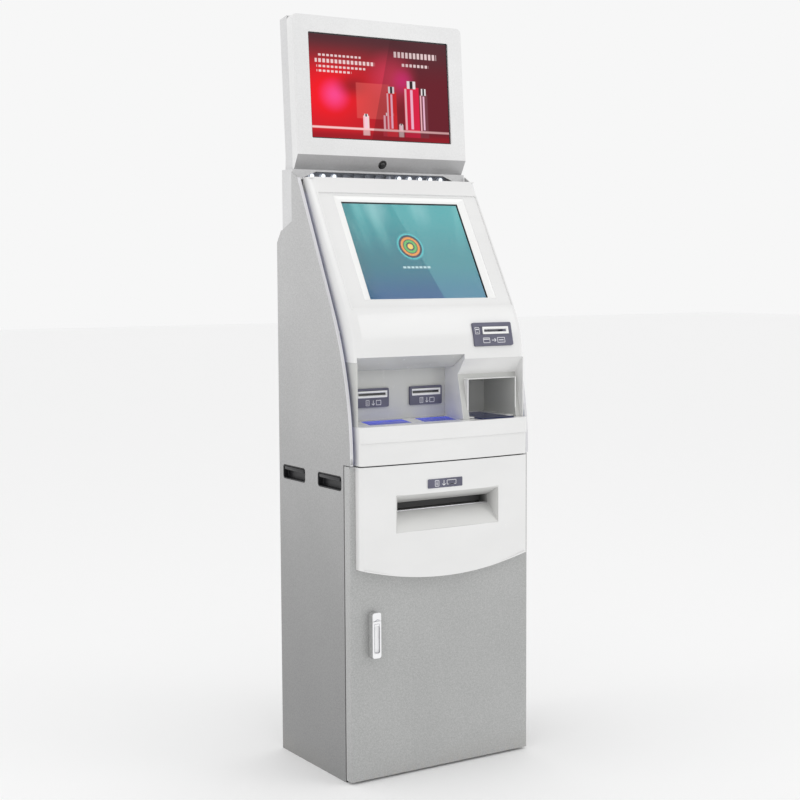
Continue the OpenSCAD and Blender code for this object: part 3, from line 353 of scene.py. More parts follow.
def advert_picture(name):
    """Plain advert: red glow behind bottles on a bright shelf, with blank caption bars."""
    f = Finish(name)
    u, v = f.sheet()
    shelf = 0.10
    base = f.blend(f.ramp(u, 0.30, 0.80), shade(205, 22, 34), shade(104, 24, 36))
    base = f.blend(f.ramp(v, 0.55, 1.0), base, shade(84, 40, 46))
    base = f.blend(glow(f, u, v, (0.12, 0.42), 0.42, 1.2), base, shade(255, 14, 30))
    base = f.blend(glow(f, u, v, (0.165, 0.42), 0.20), base, shade(255, 70, 140))
    base = f.blend(glow(f, u, v, (0.30, 0.52), 0.16, 1.0) * 0.7, base, shade(120, 22, 30))
    base = f.blend(glow(f, u, v, (0.58, 0.62), 0.34) * 0.75, base, shade(225, 60, 92))
    base = f.blend(glow(f, u, v, (0.66, 0.60), 0.16) * 0.6, base, shade(230, 40, 130))
    base = f.blend(patch(f, u, v, (0.44, 0.38), (0.115, 0.17), 0.01) * 0.45, base, shade(236, 96, 92))
    base = f.blend(f.ramp(v, shelf, 0.02) * 0.8, base, shade(150, 14, 28))
    for middle, half, high, tint in (
            (0.385, 0.018, 0.13, (250, 225, 225)), (0.560, 0.048, 0.15, (206, 60, 80)),
            (0.575, 0.034, 0.38, (232, 30, 34)), (0.640, 0.012, 0.06, (235, 220, 220)),
            (0.725, 0.052, 0.44, (236, 24, 70)), (0.815, 0.026, 0.38, (120, 60, 70))):
        up = shelf + high / 2
        body = patch(f, u, v, (middle, up), (half, high / 2))
        base = f.blend(body * 0.9, base, shade(*tint))
        stripe = patch(f, u, v, (middle, up), (half * 0.12, high * 0.44))
        base = f.blend(stripe * 0.9, base, shade(255, 200, 225))
        edge = patch(f, u, v, (middle - half * 0.85, up), (half * 0.08, high * 0.46))
        base = f.blend(edge, base, shade(250, 190, 200))
        cap = patch(f, u, v, (middle, shelf + high * 1.06), (half * 0.55, high * 0.08))
        base = f.blend(cap, base, shade(245, 238, 240))
        neck = patch(f, u, v, (middle, shelf + high * 1.06), (half * 0.16, high * 0.08))
        base = f.blend(neck, base, shade(40, 24, 28))
        mirror = patch(f, u, v, (middle, shelf - 0.035), (half, 0.02), 0.012)
        base = f.blend(mirror * 0.5, base, shade(*tint))
    line = patch(f, u, v, (0.5, shelf), (0.6, 0.004), 0.012)
    base = f.blend(line * f.ramp(u, 0.3, 1.0, 1.0, 0.55), base, shade(255, 205, 205))
    for middle, half, high in (
            ((0.21, 0.80), 0.15, 0.008), ((0.25, 0.745), 0.21, 0.016), ((0.22, 0.69), 0.17, 0.008),
            ((0.17, 0.645), 0.12, 0.008), ((0.76, 0.86), 0.16, 0.026), ((0.76, 0.76), 0.10, 0.012)):
        wave = f.node("ShaderNodeTexWave", None, f.node("ShaderNodeCombineXYZ", None, u), 11.0)
        ticks = f.ramp(abs(wave), 0.1, 0.5)
        bar = patch(f, u, v, middle, (half, high), 0.005)
        base = f.blend(bar * ticks * 0.85, base, shade(250, 225, 225))
    beam = f.ramp(u - (v - 0.5) * 0.16, 0.50, 0.505) * f.ramp(u, 0.9, 0.45, 0.0, 0.35)
    base = f.blend(beam, base, shade(60, 16, 24))
    return lit(f, base, 0.95)


def start_picture(name):
    """Plain start screen: teal light falling through water, with a round touch mark."""
    f = Finish(name)
    u, v = f.sheet()
    base = f.blend(f.ramp(v, 0.0, 0.42), shade(0, 84, 138), shade(2, 116, 132))
    base = f.blend(f.ramp(v, 0.40, 0.95), base, shade(8, 152, 158))
    rays = f.noise(f.node("ShaderNodeCombineXYZ", None, (u - 0.4) * (1.3 - v * 0.4) * 6.0, v * 0.7), 1.0, 2.0)
    base = f.blend(f.ramp(rays, 0.48, 0.72) * f.ramp(v, 0.35, 1.0) * 0.8, base, shade(112, 196, 196))
    base = f.blend(glow(f, u, v, (0.27, 0.97), 0.30, 2.0) * 0.55, base, shade(150, 205, 208))
    base = f.blend(glow(f, u, v, (0.66, 0.95), 0.26, 2.2) * 0.45, base, shade(150, 205, 208))
    base = f.blend(f.ramp(u, 0.12, 0.0) * 0.35, base, shade(0, 80, 96))
    lighter = f.ramp(u + (v - 0.5) * 0.21, 0.525, 0.530)
    base = f.blend(lighter * 0.22, base, shade(120, 215, 215))
    du = (u - 0.475) * 1.25
    dv = v - 0.55
    out = (du * du + dv * dv) ** 0.5
    base = f.blend(f.ramp(out, 0.150, 0.125), base, shade(70, 200, 205))
    base = f.blend(f.ramp(out, 0.126, 0.118), base, shade(16, 36, 66))
    for radius, wide, tint in ((0.088, 0.009, (240, 150, 40)), (0.056, 0.009, (90, 190, 90)),
                               (0.0, 0.026, (250, 215, 90))):
        base = f.blend(f.ramp(abs(out - radius), wide, wide + 0.006, 1.0, 0.0), base, shade(*tint))
    for i in range(7):
        dot = patch(f, u, v, (0.37 + 0.035 * i, 0.33), (0.010, 0.008), 0.006)
        base = f.blend(dot * 0.85, base, shade(205, 235, 240))
    return lit(f, base, 0.95)


MADE = {}


def finish_of(name, maker, *values, **more):
    """Makes each finish once."""
    if name not in MADE:
        MADE[name] = maker(name, *values, **more)
    return MADE[name]


WHITE = finish_of("white_moulding", moulded_gloss, (0.83, 0.83, 0.825))
BEZEL_WHITE = finish_of("bezel_white", moulded_gloss, (0.93, 0.93, 0.92), 0.2, 0.5)
# the white moulding made grey inside the alcove: painted shade of the recess
ALCOVE_PAINTED_SHADE = finish_of("alcove_moulding", moulded_gloss, (0.60, 0.605, 0.585), 0.26, 0.3)
# grey gloss inside the reader hood: its gloss is its own, its grey is painted shade of the cubby
HOOD_PAINTED_SHADE = finish_of("hood_liner", moulded_gloss, (0.56, 0.565, 0.545), 0.14, 0.7)
HEAD_WHITE = finish_of("head_white_paint", powder_coat, (0.80, 0.80, 0.80), 0.32, speckle=0.03)
# the head's white paint made greyer for its rear, sides and neck: painted shade
HEAD_PAINTED_SHADE = finish_of("head_grey_paint", powder_coat, (0.66, 0.66, 0.665), 0.36, speckle=0.05)
# the head bevel that looks down, painted a darker grey: painted shade
BEVEL_PAINTED_SHADE = finish_of("bevel_grey_paint", powder_coat, (0.46, 0.46, 0.465), 0.34, 0.3, speckle=0.04)
# door paint slightly darker towards the foot: painted shade
SILVER = finish_of("door_silver_paint", powder_coat, (0.47, 0.475, 0.47), 0.40, 0.15, 0.12, 0.92, 1.0)
# sides and rear: the door's paint made darker, a painted shade, and ramped from dark at the foot to light at
# the top, painted shade and light
SIDE_PAINTED_SHADE_AND_LIGHT = finish_of("side_grey_paint", powder_coat, (0.40, 0.40, 0.40), 0.44, 0.1, 0.12, 0.66, 1.25)
RAIL_WHITE = finish_of("rail_white_paint", moulded_gloss, (0.72, 0.72, 0.74), 0.28, 0.25)
DARK = finish_of("dark_base_paint", powder_coat, (0.05, 0.05, 0.055), 0.5)
ZINC = finish_of("zinc_sheet", zinc_plate)
STEEL = finish_of("bright_steel", brushed_metal)
BLACK = finish_of("black_plastic", satin_plastic, (0.012, 0.012, 0.014), 0.36)
GLOSS_BLACK = finish_of("black_gloss", moulded_gloss, (0.006, 0.006, 0.008), 0.08, 0.8)
SLATE = finish_of("slate_plastic", satin_plastic, shade(98, 98, 116), 0.42)
CHUTE = finish_of("chute_plastic", chute_finish, shade(216, 216, 214))
CASE = finish_of("equipment_case", powder_coat, (0.10, 0.10, 0.11), 0.5)
PRINTER = finish_of("printer_case", satin_plastic, (0.55, 0.55, 0.54), 0.5)
RED = finish_of("red_rocker", satin_plastic, (0.42, 0.01, 0.01), 0.3)
# purple-grey of the groove strips and the strips beside the print panel: painted shade with a bluish painted
# reflection
GROOVE_PAINTED_SHADE = finish_of("groove_tint", moulded_gloss, shade(146, 150, 186), 0.25)
# blue and navy windows glow with no lamp: painted glow
BLUE = finish_of("blue_window", painted_glow_window, shade(36, 52, 168))
NAVY = finish_of("navy_window", painted_glow_window, shade(22, 30, 66), 1.0, 0.35)
COVER = finish_of("clear_cover", clear_cover)
LAMP = finish_of("lamp_board", lamp_board)
PAPER = finish_of("wound_paper", roll_paper)
LEVER = finish_of("lever_white", moulded_gloss, (0.94, 0.94, 0.95), 0.16, 0.7)
PRINT = finish_of("printed_marks", satin_plastic, (0.80, 0.80, 0.83), 0.5)
GREEN_LIGHT = finish_of("indicator_green", satin_plastic, (0.02, 0.5, 0.08), 0.3)
ADVERT = finish_of("upper_picture", advert_picture)
START = finish_of("touch_picture", start_picture)

SLOT_FINISH = {
    "white_moulding": WHITE, "white_paint": RAIL_WHITE, "head_paint": HEAD_PAINTED_SHADE, "silver_paint": SILVER,
    "side_paint": SIDE_PAINTED_SHADE_AND_LIGHT, "dark_paint": DARK, "zinc": ZINC, "steel": STEEL, "black_plastic": BLACK,
    "slate_plastic": SLATE, "chute_plastic": CHUTE, "equipment": CASE, "printer_shell": PRINTER,
    "red_plastic": RED, "tinted_strip": GROOVE_PAINTED_SHADE, "light_cover": COVER, "lamp": LAMP, "screen_glass": COVER,
    "touch_picture": CASE, "upper_picture": CASE, "blue_window": BLUE, "navy_window": NAVY, "paper": PAPER,
    "lock_metal": SILVER, "lock_lever": LEVER}


def dress_nodes():
    """Gives every CAD node the finish of its slot."""
    for part in frame["record"]["subparts"]:
        node = NODES[part["node"]]
        node.data.materials.clear()
        node.data.materials.append(SLOT_FINISH[part["material_slot"]])


# ---------------------------------------------------------------- making pieces

def alone(piece):
    """Leaves one piece selected and active."""
    bpy.ops.object.select_all(action="DESELECT")
    piece.select_set(True)
    bpy.context.view_layer.objects.active = piece


def begin(kind, name, **settings):
    """Adds a primitive with nothing else selected."""
    bpy.ops.object.select_all(action="DESELECT")
    getattr(bpy.ops.mesh, f"primitive_{kind}_add")(**settings)
    made = bpy.context.object
    made.name = made.data.name = name
    return made


def block(name, low, high):
    """A cube stretched between two corners."""
    made = begin("cube", name, size=1)
    for v in made.data.vertices:
        v.co = [high[i] if v.co[i] > 0 else low[i] for i in range(3)]
    return made


def edit(piece):
    alone(piece)
    bpy.ops.object.mode_set(mode="EDIT")


def done():
    bpy.ops.object.mode_set(mode="OBJECT")


def pick(piece, test):
    """Selects, in edit mode, the faces whose middle and normal pass a test."""
    bpy.ops.mesh.select_mode(type="FACE")
    bpy.ops.mesh.select_all(action="DESELECT")
    mesh = bmesh.from_edit_mesh(piece.data)
    for face in mesh.faces:
        face.select_set(test(face.calc_center_median(), face.normal))
    bmesh.update_edit_mesh(piece.data)


def set_rectangle(piece, box):
    """Moves the four selected corners onto a rectangle (low x, low z, high x, high z)."""
    mesh = bmesh.from_edit_mesh(piece.data)
    corners = [v for v in mesh.verts if v.select]
    middle = sum((v.co for v in corners), Vector()) / len(corners)
    for v in corners:
        v.co.x = box[2] if v.co.x > middle.x else box[0]
        v.co.z = box[3] if v.co.z > middle.z else box[1]
    bmesh.update_edit_mesh(piece.data)


def paint_selected(piece, index):
    mesh = bmesh.from_edit_mesh(piece.data)
    for face in mesh.faces:
        if face.select:
            face.material_index = index
    bmesh.update_edit_mesh(piece.data)


def lay(piece, where):
    """Puts a finished piece where it goes, with its place in its mesh."""
    alone(piece)
    piece.matrix_world = where @ piece.matrix_world
    bpy.ops.object.transform_apply(location=True, rotation=True, scale=True)
    return piece


def apply_modifier(piece, kind, **settings):
    alone(piece)
    made = piece.modifiers.new(kind.lower(), kind)
    for label, value in settings.items():
        setattr(made, label, value)
    bpy.ops.object.modifier_apply(modifier=made.name)


def round_edges(piece, width, segments=2, angle=30):
    apply_modifier(piece, "BEVEL", width=width, segments=segments, limit_method="ANGLE",
                   angle_limit=math.radians(angle))
    alone(piece)
    bpy.ops.object.shade_smooth_by_angle(angle=math.radians(35), keep_sharp_edges=False)
    return piece


def finished(piece, body, slot, *finishes):
    """Gives a piece its finishes and body."""
    if finishes:
        piece.data.materials.clear()
        for material in finishes:
            piece.data.materials.append(material)
    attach(piece, body)
    return piece


def softened(node, width, finish, segments=3, angle=40):
    """Copies a CAD node, joins its triangles into faces and rounds its edges."""
    source = NODES[node]
    made = bpy.data.objects.new(node + "_finished", source.data.copy())
    bpy.context.scene.collection.objects.link(made)
    edit(made)
    bpy.ops.mesh.select_all(action="SELECT")
    bpy.ops.mesh.remove_doubles(threshold=0.00002)
    bpy.ops.mesh.dissolve_limited(angle_limit=math.radians(0.6))
    done()
    round_edges(made, width, segments, angle)
    apply_modifier(made, "WEIGHTED_NORMAL", keep_sharp=True)
    part = next(p for p in frame["record"]["subparts"] if p["node"] == node)
    finished(made, BODY_OF[node], part["material_slot"], finish)
    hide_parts(node)
    return made


def opening(name):
    """Lowest and highest corners of one of the record's openings."""
    found = next(o for o in frame["record"]["physics"]["openings"] if o["name"] == name)
    return Vector(found["box_m"][0]), Vector(found["box_m"][1])


def face_frame(node, toward):
    """A node's largest flat face that looks a given way: its place (x across, y inwards, z up) and size."""
    mesh = NODES[node].data
    mesh.calc_loop_triangles()
    corners = np.array([v.co for v in mesh.vertices])
    tris = np.array([t.vertices for t in mesh.loop_triangles])
    a, b, c = corners[tris[:, 0]], corners[tris[:, 1]], corners[tris[:, 2]]
    cross = np.cross(b - a, c - a)
    area = np.linalg.norm(cross, axis=1)
    normals = cross / np.maximum(area, 1e-12)[:, None]
    wanted = np.array(Vector(toward).normalized())
    groups = {}
    for i, n in enumerate(normals):
        if n @ wanted > 0.7:
            key = tuple(np.round(n, 2)) + (round(float(n @ a[i]), 4),)
            groups.setdefault(key, []).append(i)
    best = max(groups.values(), key=lambda group: area[group].sum())
    inward = -Vector(normals[best[0]])
    right = Vector((1, 0, 0))
    if abs(inward.x) > 0.5:
        right = Vector((0, -1, 0)) * (1 if inward.x > 0 else -1)
    up = right.cross(inward).normalized()
    points = corners[np.unique(tris[best])]
    spans = []
    for axis in (right, up):
        along = points @ np.array(axis)
        spans.append((float(along.min()), float(along.max())))
    depth = float(points[0] @ np.array(inward))
    middle = right * sum(spans[0]) / 2 + up * sum(spans[1]) / 2 + inward * depth
    place = Matrix((right, inward, up)).transposed().to_4x4()
    place.translation = middle
    return place, spans[0][1] - spans[0][0], spans[1][1] - spans[1][0]


def ring(name, outer, inner_front, inner_back, depth, round_by=0.5 * MM):
    """A frame round an opening, y inwards from 0; each rectangle is (low x, low z, high x, high z)."""
    made = block(name, (outer[0], 0, outer[1]), (outer[2], depth, outer[3]))
    edit(made)
    for side, inner in ((-1, inner_front), (1, inner_back)):
        pick(made, lambda m, n, side=side: n.y * side > 0.9)
        bpy.ops.mesh.inset(thickness=min(outer[2] - outer[0], outer[3] - outer[1]) * 0.1)
        set_rectangle(made, inner)
        bpy.ops.mesh.delete(type="ONLY_FACE")
    bpy.ops.mesh.select_mode(type="EDGE")
    bpy.ops.mesh.select_all(action="DESELECT")
    bpy.ops.mesh.select_non_manifold()
    bpy.ops.mesh.bridge_edge_loops()
    bpy.ops.mesh.select_all(action="SELECT")
    bpy.ops.mesh.normals_make_consistent(inside=False)
    done()
    return round_edges(made, round_by, 3)


def box_about(x, z, wide, high):
    """Rectangle of a width and height about a middle."""
    return (x - wide / 2, z - high / 2, x + wide / 2, z + high / 2)


def slab(name, low, high, round_by=0.5 * MM):
    """A block with rounded edges and an inset ring of faces on its front."""
    made = block(name, low, high)
    edit(made)
    pick(made, lambda m, n: n.y < -0.9)
    bpy.ops.mesh.inset(thickness=min(high[0] - low[0], high[2] - low[2]) * 0.12)
    done()
    return round_edges(made, round_by, 2)


def marks(name, place, body, bars, thick=0.25 * MM, finish=None):
    """Printed pictogram: thin bars (x, z, width, height, turn in degrees) lying on a face."""
    made = []
    for x, z, wide, high, turn in bars:
        bar = block(name, (-wide / 2, -thick, -high / 2), (wide / 2, 0, high / 2))
        round_edges(bar, min(wide, high) * 0.2, 2)
        lay(bar, Matrix.Translation((x, 0, z)) @ Matrix.Rotation(math.radians(turn), 4, "Y"))
        made.append(bar)
    bpy.ops.object.select_all(action="DESELECT")
    for bar in made:
        bar.select_set(True)
    bpy.context.view_layer.objects.active = made[0]
    bpy.ops.object.join()
    made[0].name = made[0].data.name = name
    lay(made[0], place)
    return finished(made[0], body, "slate_plastic", finish or PRINT)


def outline_bars(x, z, wide, high, line):
    """Four bars round a rectangle."""
    return [(x, z + high / 2, wide, line, 0), (x, z - high / 2, wide, line, 0),
            (x - wide / 2, z, line, high, 0), (x + wide / 2, z, line, high, 0)]


def arrow_bars(x, z, size, line, turn=0):
    """An arrow of three bars, pointing up before it is turned."""
    c, s = math.cos(math.radians(turn)), math.sin(math.radians(turn))
    bars = []
    for dx, dz, wide, high, own in ((0, 0, line, size, 0), (-size * 0.16, size * 0.33, line, size * 0.5, 45),
                                    (size * 0.16, size * 0.33, line, size * 0.5, -45)):
        bars.append((x + dx * c + dz * s, z - dx * s + dz * c, wide, high, own + turn))
    return bars


# ---------------------------------------------------------------- screens

def display_module(name, wide, high, deep, picture, art):
    """A display: case, black surround and a picture with a map from 0 to 1."""
    made = block(name, (-wide / 2, 0, -high / 2), (wide / 2, deep, high / 2))
    for material in (CASE, BLACK, art):
        made.data.materials.append(material)
    edit(made)
    pick(made, lambda m, n: n.y < -0.9)
    bpy.ops.mesh.inset(thickness=2 * MM)
    paint_selected(made, 1)
    bpy.ops.mesh.inset(thickness=1 * MM)
    set_rectangle(made, picture)
    paint_selected(made, 2)
    mesh = bmesh.from_edit_mesh(made.data)
    sheet = mesh.loops.layers.uv.verify()
    for face in mesh.faces:
        for loop in face.loops:
            loop[sheet].uv = ((loop.vert.co.x - picture[0]) / (picture[2] - picture[0]),
                              (loop.vert.co.z - picture[1]) / (picture[3] - picture[1]))
    bmesh.update_edit_mesh(made.data)
    done()
    return made


def touch_screen():
    place, wide, high = face_frame("touch_display", (0, -1, 0.5))
    glass, glass_wide, glass_high = face_frame("touch_glass", (0, -1, 0.5))
    to_glass = (place.inverted() @ glass.translation)
    side, below, above = 10 * MM, 5 * MM, 10 * MM
    picture = (-wide / 2 + side, -high / 2 + below, wide / 2 - side, high / 2 - above)
    module = display_module("touch_display_module", wide, high, 28 * MM, picture, START)
    lay(module, place)
    finished(module, "fascia", "touch_picture")
    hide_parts("touch_display")
    outer = box_about(0, to_glass.z, glass_wide, glass_high)
    edge, lip, deep = 2.2 * MM, 3.5 * MM, 5.5 * MM
    inner = (picture[0] - edge, picture[1] - edge, picture[2] + edge, picture[3] + edge)
    front = (outer[0] + lip, outer[1] + 1.2 * MM, outer[2] - lip, outer[3] - lip)
    rim = ring("touch_bezel_frame", outer, front, inner, deep)
    lay(rim, place @ Matrix.Translation((0, to_glass.y - deep - 0.1 * MM, 0)))
    finished(rim, "fascia", "white_moulding", BEZEL_WHITE)
    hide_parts("touch_bezel")


def upper_screen():
    place, wide, high = face_frame("upper_display", (0, -1, 0))
    margin = 15 * MM
    picture = (-wide / 2 + margin, -high / 2 + margin, wide / 2 - margin, high / 2 - margin)
    module = display_module("upper_display_module", wide, high, 16 * MM, picture, ADVERT)
    lay(module, place)
    finished(module, "cabinet", "upper_picture")
    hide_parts("upper_display")
    shell = softened("head_front_frame", 1.6 * MM, HEAD_WHITE)
    shell.data.materials.append(BEVEL_PAINTED_SHADE)
    # faces that look down and forward take the darker grey: painted shade
    for face in shell.data.polygons:
        if face.normal.z < -0.25 and face.normal.y < -0.2:
            face.material_index = 1


# ---------------------------------------------------------------- front pieces

def mouth(name, place, body, x, z, wide, high, slot_wide, slot_high, deep, finish):
    """Raised light mouth round a slot, its walls sloping to the slot."""
    outer = box_about(x, z, wide, high)
    front = box_about(x, z, slot_wide + 5 * MM, slot_high + 5 * MM)
    made = ring(name, outer, front, box_about(x, z, slot_wide, slot_high), deep, 0.35 * MM)
    lay(made, place @ Matrix.Translation((0, -deep, 0)))
    return finished(made, body, "white_moulding", finish)


def card_entry():
    """Card entry: slate plate, light mouth and printed card marks."""
    softened("card_bezel", 0.7 * MM, SLATE)
    place, wide, high = face_frame("card_bezel", (0, -1, 0.2))
    sunk = place @ Matrix.Translation((0, 2.4 * MM, 0))
    mouth("card_mouth", sunk, "fascia", 9 * MM, 9 * MM, 78 * MM, 18.5 * MM, 66 * MM, 5.5 * MM, 3.4 * MM,
          BEZEL_WHITE)
    bars = outline_bars(-wide * 0.40, 9 * MM, 12 * MM, 16 * MM, 1.3 * MM)
    bars += [(-wide * 0.40, 12 * MM, 9 * MM, 2.4 * MM, 0), (-wide * 0.40, 5 * MM, 6 * MM, 1.2 * MM, 0)]
    marks("card_icon", place, "fascia", bars)
    low = -high * 0.27
    row = outline_bars(-22 * MM, low, 19 * MM, 12 * MM, 1.4 * MM)
    row += [(-22 * MM, low + 2.6 * MM, 17 * MM, 2.2 * MM, 0)]
    row += arrow_bars(0, low, 13 * MM, 1.7 * MM, 90)
    row += outline_bars(22 * MM, low, 22 * MM, 12 * MM, 1.4 * MM) + [(22 * MM, low, 15 * MM, 1.8 * MM, 0)]
    marks("card_direction_mark", place, "fascia", row)


def receipt_exits():
    """Receipt exits: slate plates, white mouths over black slots, printed slip marks."""
    for side in ("left", "right"):
        node = "receipt_bezel_" + side
        softened(node, 0.6 * MM, SLATE)
        place, wide, high = face_frame(node, (0, -1, 0))
        sunk = place @ Matrix.Translation((0, 3.0 * MM, 0))
        mouth("receipt_mouth_" + side, sunk, "fascia", 0, 8.5 * MM, wide - 11 * MM, 16.5 * MM,
              76 * MM, 4.6 * MM, 4.2 * MM, BEZEL_WHITE)
        # a black gloss sheet fills each slot: painted shade inside it
        dark = slab("receipt_throat_" + side, (-39 * MM, 0.2 * MM, 5 * MM), (39 * MM, 1.4 * MM, 12 * MM),
                    0.2 * MM)
        lay(dark, sunk @ Matrix.Translation((0, -1.0 * MM, 0)))
        finished(dark, "fascia", "black_plastic", GLOSS_BLACK)
        low = -high * 0.26
        row = outline_bars(-14 * MM, low, 9 * MM, 13 * MM, 1.2 * MM)
        row += [(-14 * MM, low + k * MM, 5 * MM, 1.0 * MM, 0) for k in (-3, 0, 3)]
        row += arrow_bars(2 * MM, low, 12 * MM, 1.5 * MM, 180)
        row += outline_bars(17 * MM, low, 13 * MM, 11 * MM, 1.3 * MM)
        marks("receipt_mark_" + side, place, "fascia", row)


def document_exit():
    """Document exit: a funnel of sloping walls down to a dark slot over a bright lip."""
    low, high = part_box("print_chute")
    lip_z = low.z + (high.z - low.z) * 0.50
    top_z = low.z + (high.z - low.z) * 0.76
    slot_y = low.y + 38 * MM
    lip_r, lip_lift = 1.7 * MM, 1.6 * MM
    slope = 5 * MM
    wall = 2.0 * MM
    made = block("document_chute", low, (high.x, slot_y, high.z))
    edit(made)
    pick(made, lambda m, n: n.y < -0.9)
    bpy.ops.mesh.delete(type="ONLY_FACE")
    pick(made, lambda m, n: n.y > 0.9)
    set_rectangle(made, (low.x + slope * 2, lip_z, high.x - slope, top_z))
    bpy.ops.mesh.inset(thickness=0.8 * MM)
    bpy.ops.mesh.extrude_region_move(TRANSFORM_OT_translate={"value": (0, high.y - slot_y - wall, 0)})
    bpy.ops.mesh.select_more()
    # the slot's walls and back are painted black: painted shade inside the slot
    paint_selected(made, 1)
    bpy.ops.mesh.select_all(action="SELECT")
    bpy.ops.mesh.normals_make_consistent(inside=False)
    bpy.ops.mesh.flip_normals()
    done()
    apply_modifier(made, "SOLIDIFY", thickness=-wall, offset=1.0, use_even_offset=True)
    round_edges(made, 0.8 * MM, 3, 20)
    finished(made, "door", "chute_plastic", CHUTE, BLACK)
    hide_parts("print_chute")
    bar = begin("cylinder", "document_lip", vertices=24, radius=lip_r, depth=high.x - low.x - slope * 4)
    edit(bar)
    bpy.ops.mesh.select_all(action="SELECT")
    bpy.ops.mesh.bevel(offset=0.5 * MM, segments=2)
    done()
    middle = (low.x + high.x + slope) / 2
    along_x = Matrix.Rotation(math.radians(90), 4, "Y")
    lay(bar, Matrix.Translation((middle, slot_y, lip_z + lip_lift)) @ along_x)
    round_edges(bar, 0.2 * MM, 1)
    finished(bar, "door", "steel", STEEL)
    softened("print_label", 0.3 * MM, SLATE)
    place, wide, tall = face_frame("print_label", (0, -1, 0))
    row = outline_bars(-24 * MM, 0, 11 * MM, 14 * MM, 1.3 * MM)
    row += [(-24 * MM, k * MM, 6.5 * MM, 1.1 * MM, 0) for k in (-3.2, 0, 3.2)]
    row += arrow_bars(-4 * MM, 0, 13 * MM, 1.7 * MM, 180)
    row += outline_bars(18 * MM, 1 * MM, 26 * MM, 10 * MM, 1.5 * MM)
    row += [(18 * MM, -4 * MM, 17 * MM, 1.6 * MM, 0)]
    marks("document_mark", place, "door", row, 0.1 * MM)


def door_lock():
    """Lever on its plate, with lines printed along its grooves."""
    lever = softened("lock_handle", 1.0 * MM, LEVER)
    lever.data.materials.append(SILVER)
    for face in lever.data.polygons:
        face.material_index = 0 if face.normal.y < -0.5 else 1
    softened("lock_escutcheon", 1.0 * MM, SILVER)
    place, wide, high = face_frame("lock_handle", (0, -1, 0))
    groove = outline_bars(0, -6 * MM, wide * 0.56, high * 0.62, 0.7 * MM)
    groove += [(-wide * 0.15, high * 0.33, wide * 0.34, 1.1 * MM, -28),
               (wide * 0.15, high * 0.345, wide * 0.34, 1.1 * MM, 12)]
    marks("lock_lever_lines", place, "lock", groove, 0.12 * MM, SLATE)


def side_pulls():
    """Black pulls: rounded cup and a finger ridge along the top of each."""
    softened("side_pulls", 1.4 * MM, BLACK)
    ridge_d = 9 * MM
    for side in ("left", "right"):
        for end in ("front", "rear"):
            low, high = opening(f"pull_{side}_{end}")
            left = side == "left"
            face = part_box(f"side_panel_{side}")[0 if left else 1].x
            inner = face + (ridge_d if left else -ridge_d)
            bar = block(f"pull_ridge_{side}_{end}", (min(face, inner), low.y, high.z - 6 * MM),
                        (max(face, inner), high.y, high.z + 1 * MM))
            edit(bar)
            pick(bar, lambda m, n: n.z < -0.9)
            bpy.ops.mesh.inset(thickness=1.6 * MM)
            bpy.ops.transform.translate(value=(0, 0, -2.5 * MM))
            done()
            round_edges(bar, 1.2 * MM, 3)
            finished(bar, "cabinet", "black_plastic", BLACK)


def camera_eye():
    """Camera: black ring with a glossy dome over the lens."""
    softened("camera_module", 0.4 * MM, GLOSS_BLACK, 2)
    place, wide, high = face_frame("camera_module", (0, -1, -0.6))
    dome = begin("uv_sphere", "camera_lens_dome", segments=40, ring_count=20, radius=wide * 0.30)
    edit(dome)
    bpy.ops.mesh.select_all(action="SELECT")
    bpy.ops.mesh.bisect(plane_co=(0, 0, 0), plane_no=(0, 1, 0), clear_outer=True, use_fill=True)
    bpy.ops.mesh.select_all(action="SELECT")
    bpy.ops.transform.resize(value=(1, 0.35, 1))
    done()
    round_edges(dome, 0.1 * MM, 1)
    lay(dome, place @ Matrix.Translation((0, 2.6 * MM, 0)))
    finished(dome, "cabinet", "black_plastic", GLOSS_BLACK)


def mouldings_and_panels():
    """Rounds the edges of the shells whose shape is right as it comes."""
    for node, width, finish in (
            ("fascia_shell", 1.0, WHITE), ("brow_panel", 1.2, WHITE), ("alcove_shell", 1.2, ALCOVE_PAINTED_SHADE),
            ("shelf_apron", 1.6, WHITE), ("print_panel", 1.2, WHITE), ("door_panel", 0.8, SILVER),
            ("side_panel_left", 0.6, SIDE_PAINTED_SHADE_AND_LIGHT), ("side_panel_right", 0.6, SIDE_PAINTED_SHADE_AND_LIGHT),
            ("rear_panel", 0.4, SIDE_PAINTED_SHADE_AND_LIGHT), ("neck_housing", 0.8, HEAD_PAINTED_SHADE),
            ("head_rear_cover", 1.5, HEAD_PAINTED_SHADE),
            ("edge_rails", 0.8, RAIL_WHITE), ("console_top_plate", 0.6, WHITE)):
        softened(node, width * MM, finish)
    hood = softened("reader_hood", 1.4 * MM, WHITE)
    hood.data.materials.append(HOOD_PAINTED_SHADE)
    low, high = opening("reader_cubby")
    slack = 4 * MM
    # the walls and back inside the cubby take the grey: painted shade
    for face in hood.data.polygons:
        m = face.center
        inside = low.x - slack < m.x < high.x + slack and low.z - slack < m.z < high.z + 16 * MM
        wall = m.y > low.y + 6 * MM and abs(face.normal.y) < 0.98
        back = m.y > high.y - 6 * MM
        if inside and (wall or back):
            face.material_index = 1


# ---------------------------------------------------------------- inside the cabinet

def fittings(node, body, details, toward=(0, -1, 0)):
    """Adds small fittings on the front of a node: (name, x, z, width, height, proud, slot, finish)."""
    place = face_frame(node, toward)[0]
    for name, x, z, wide, high, proud, slot, finish in details:
        piece = slab(name, (x - wide / 2, -proud, z - high / 2), (x + wide / 2, 0.2 * MM, z + high / 2),
                     min(proud, wide, high) * 0.3)
        lay(piece, place)
        finished(piece, body, slot, finish)


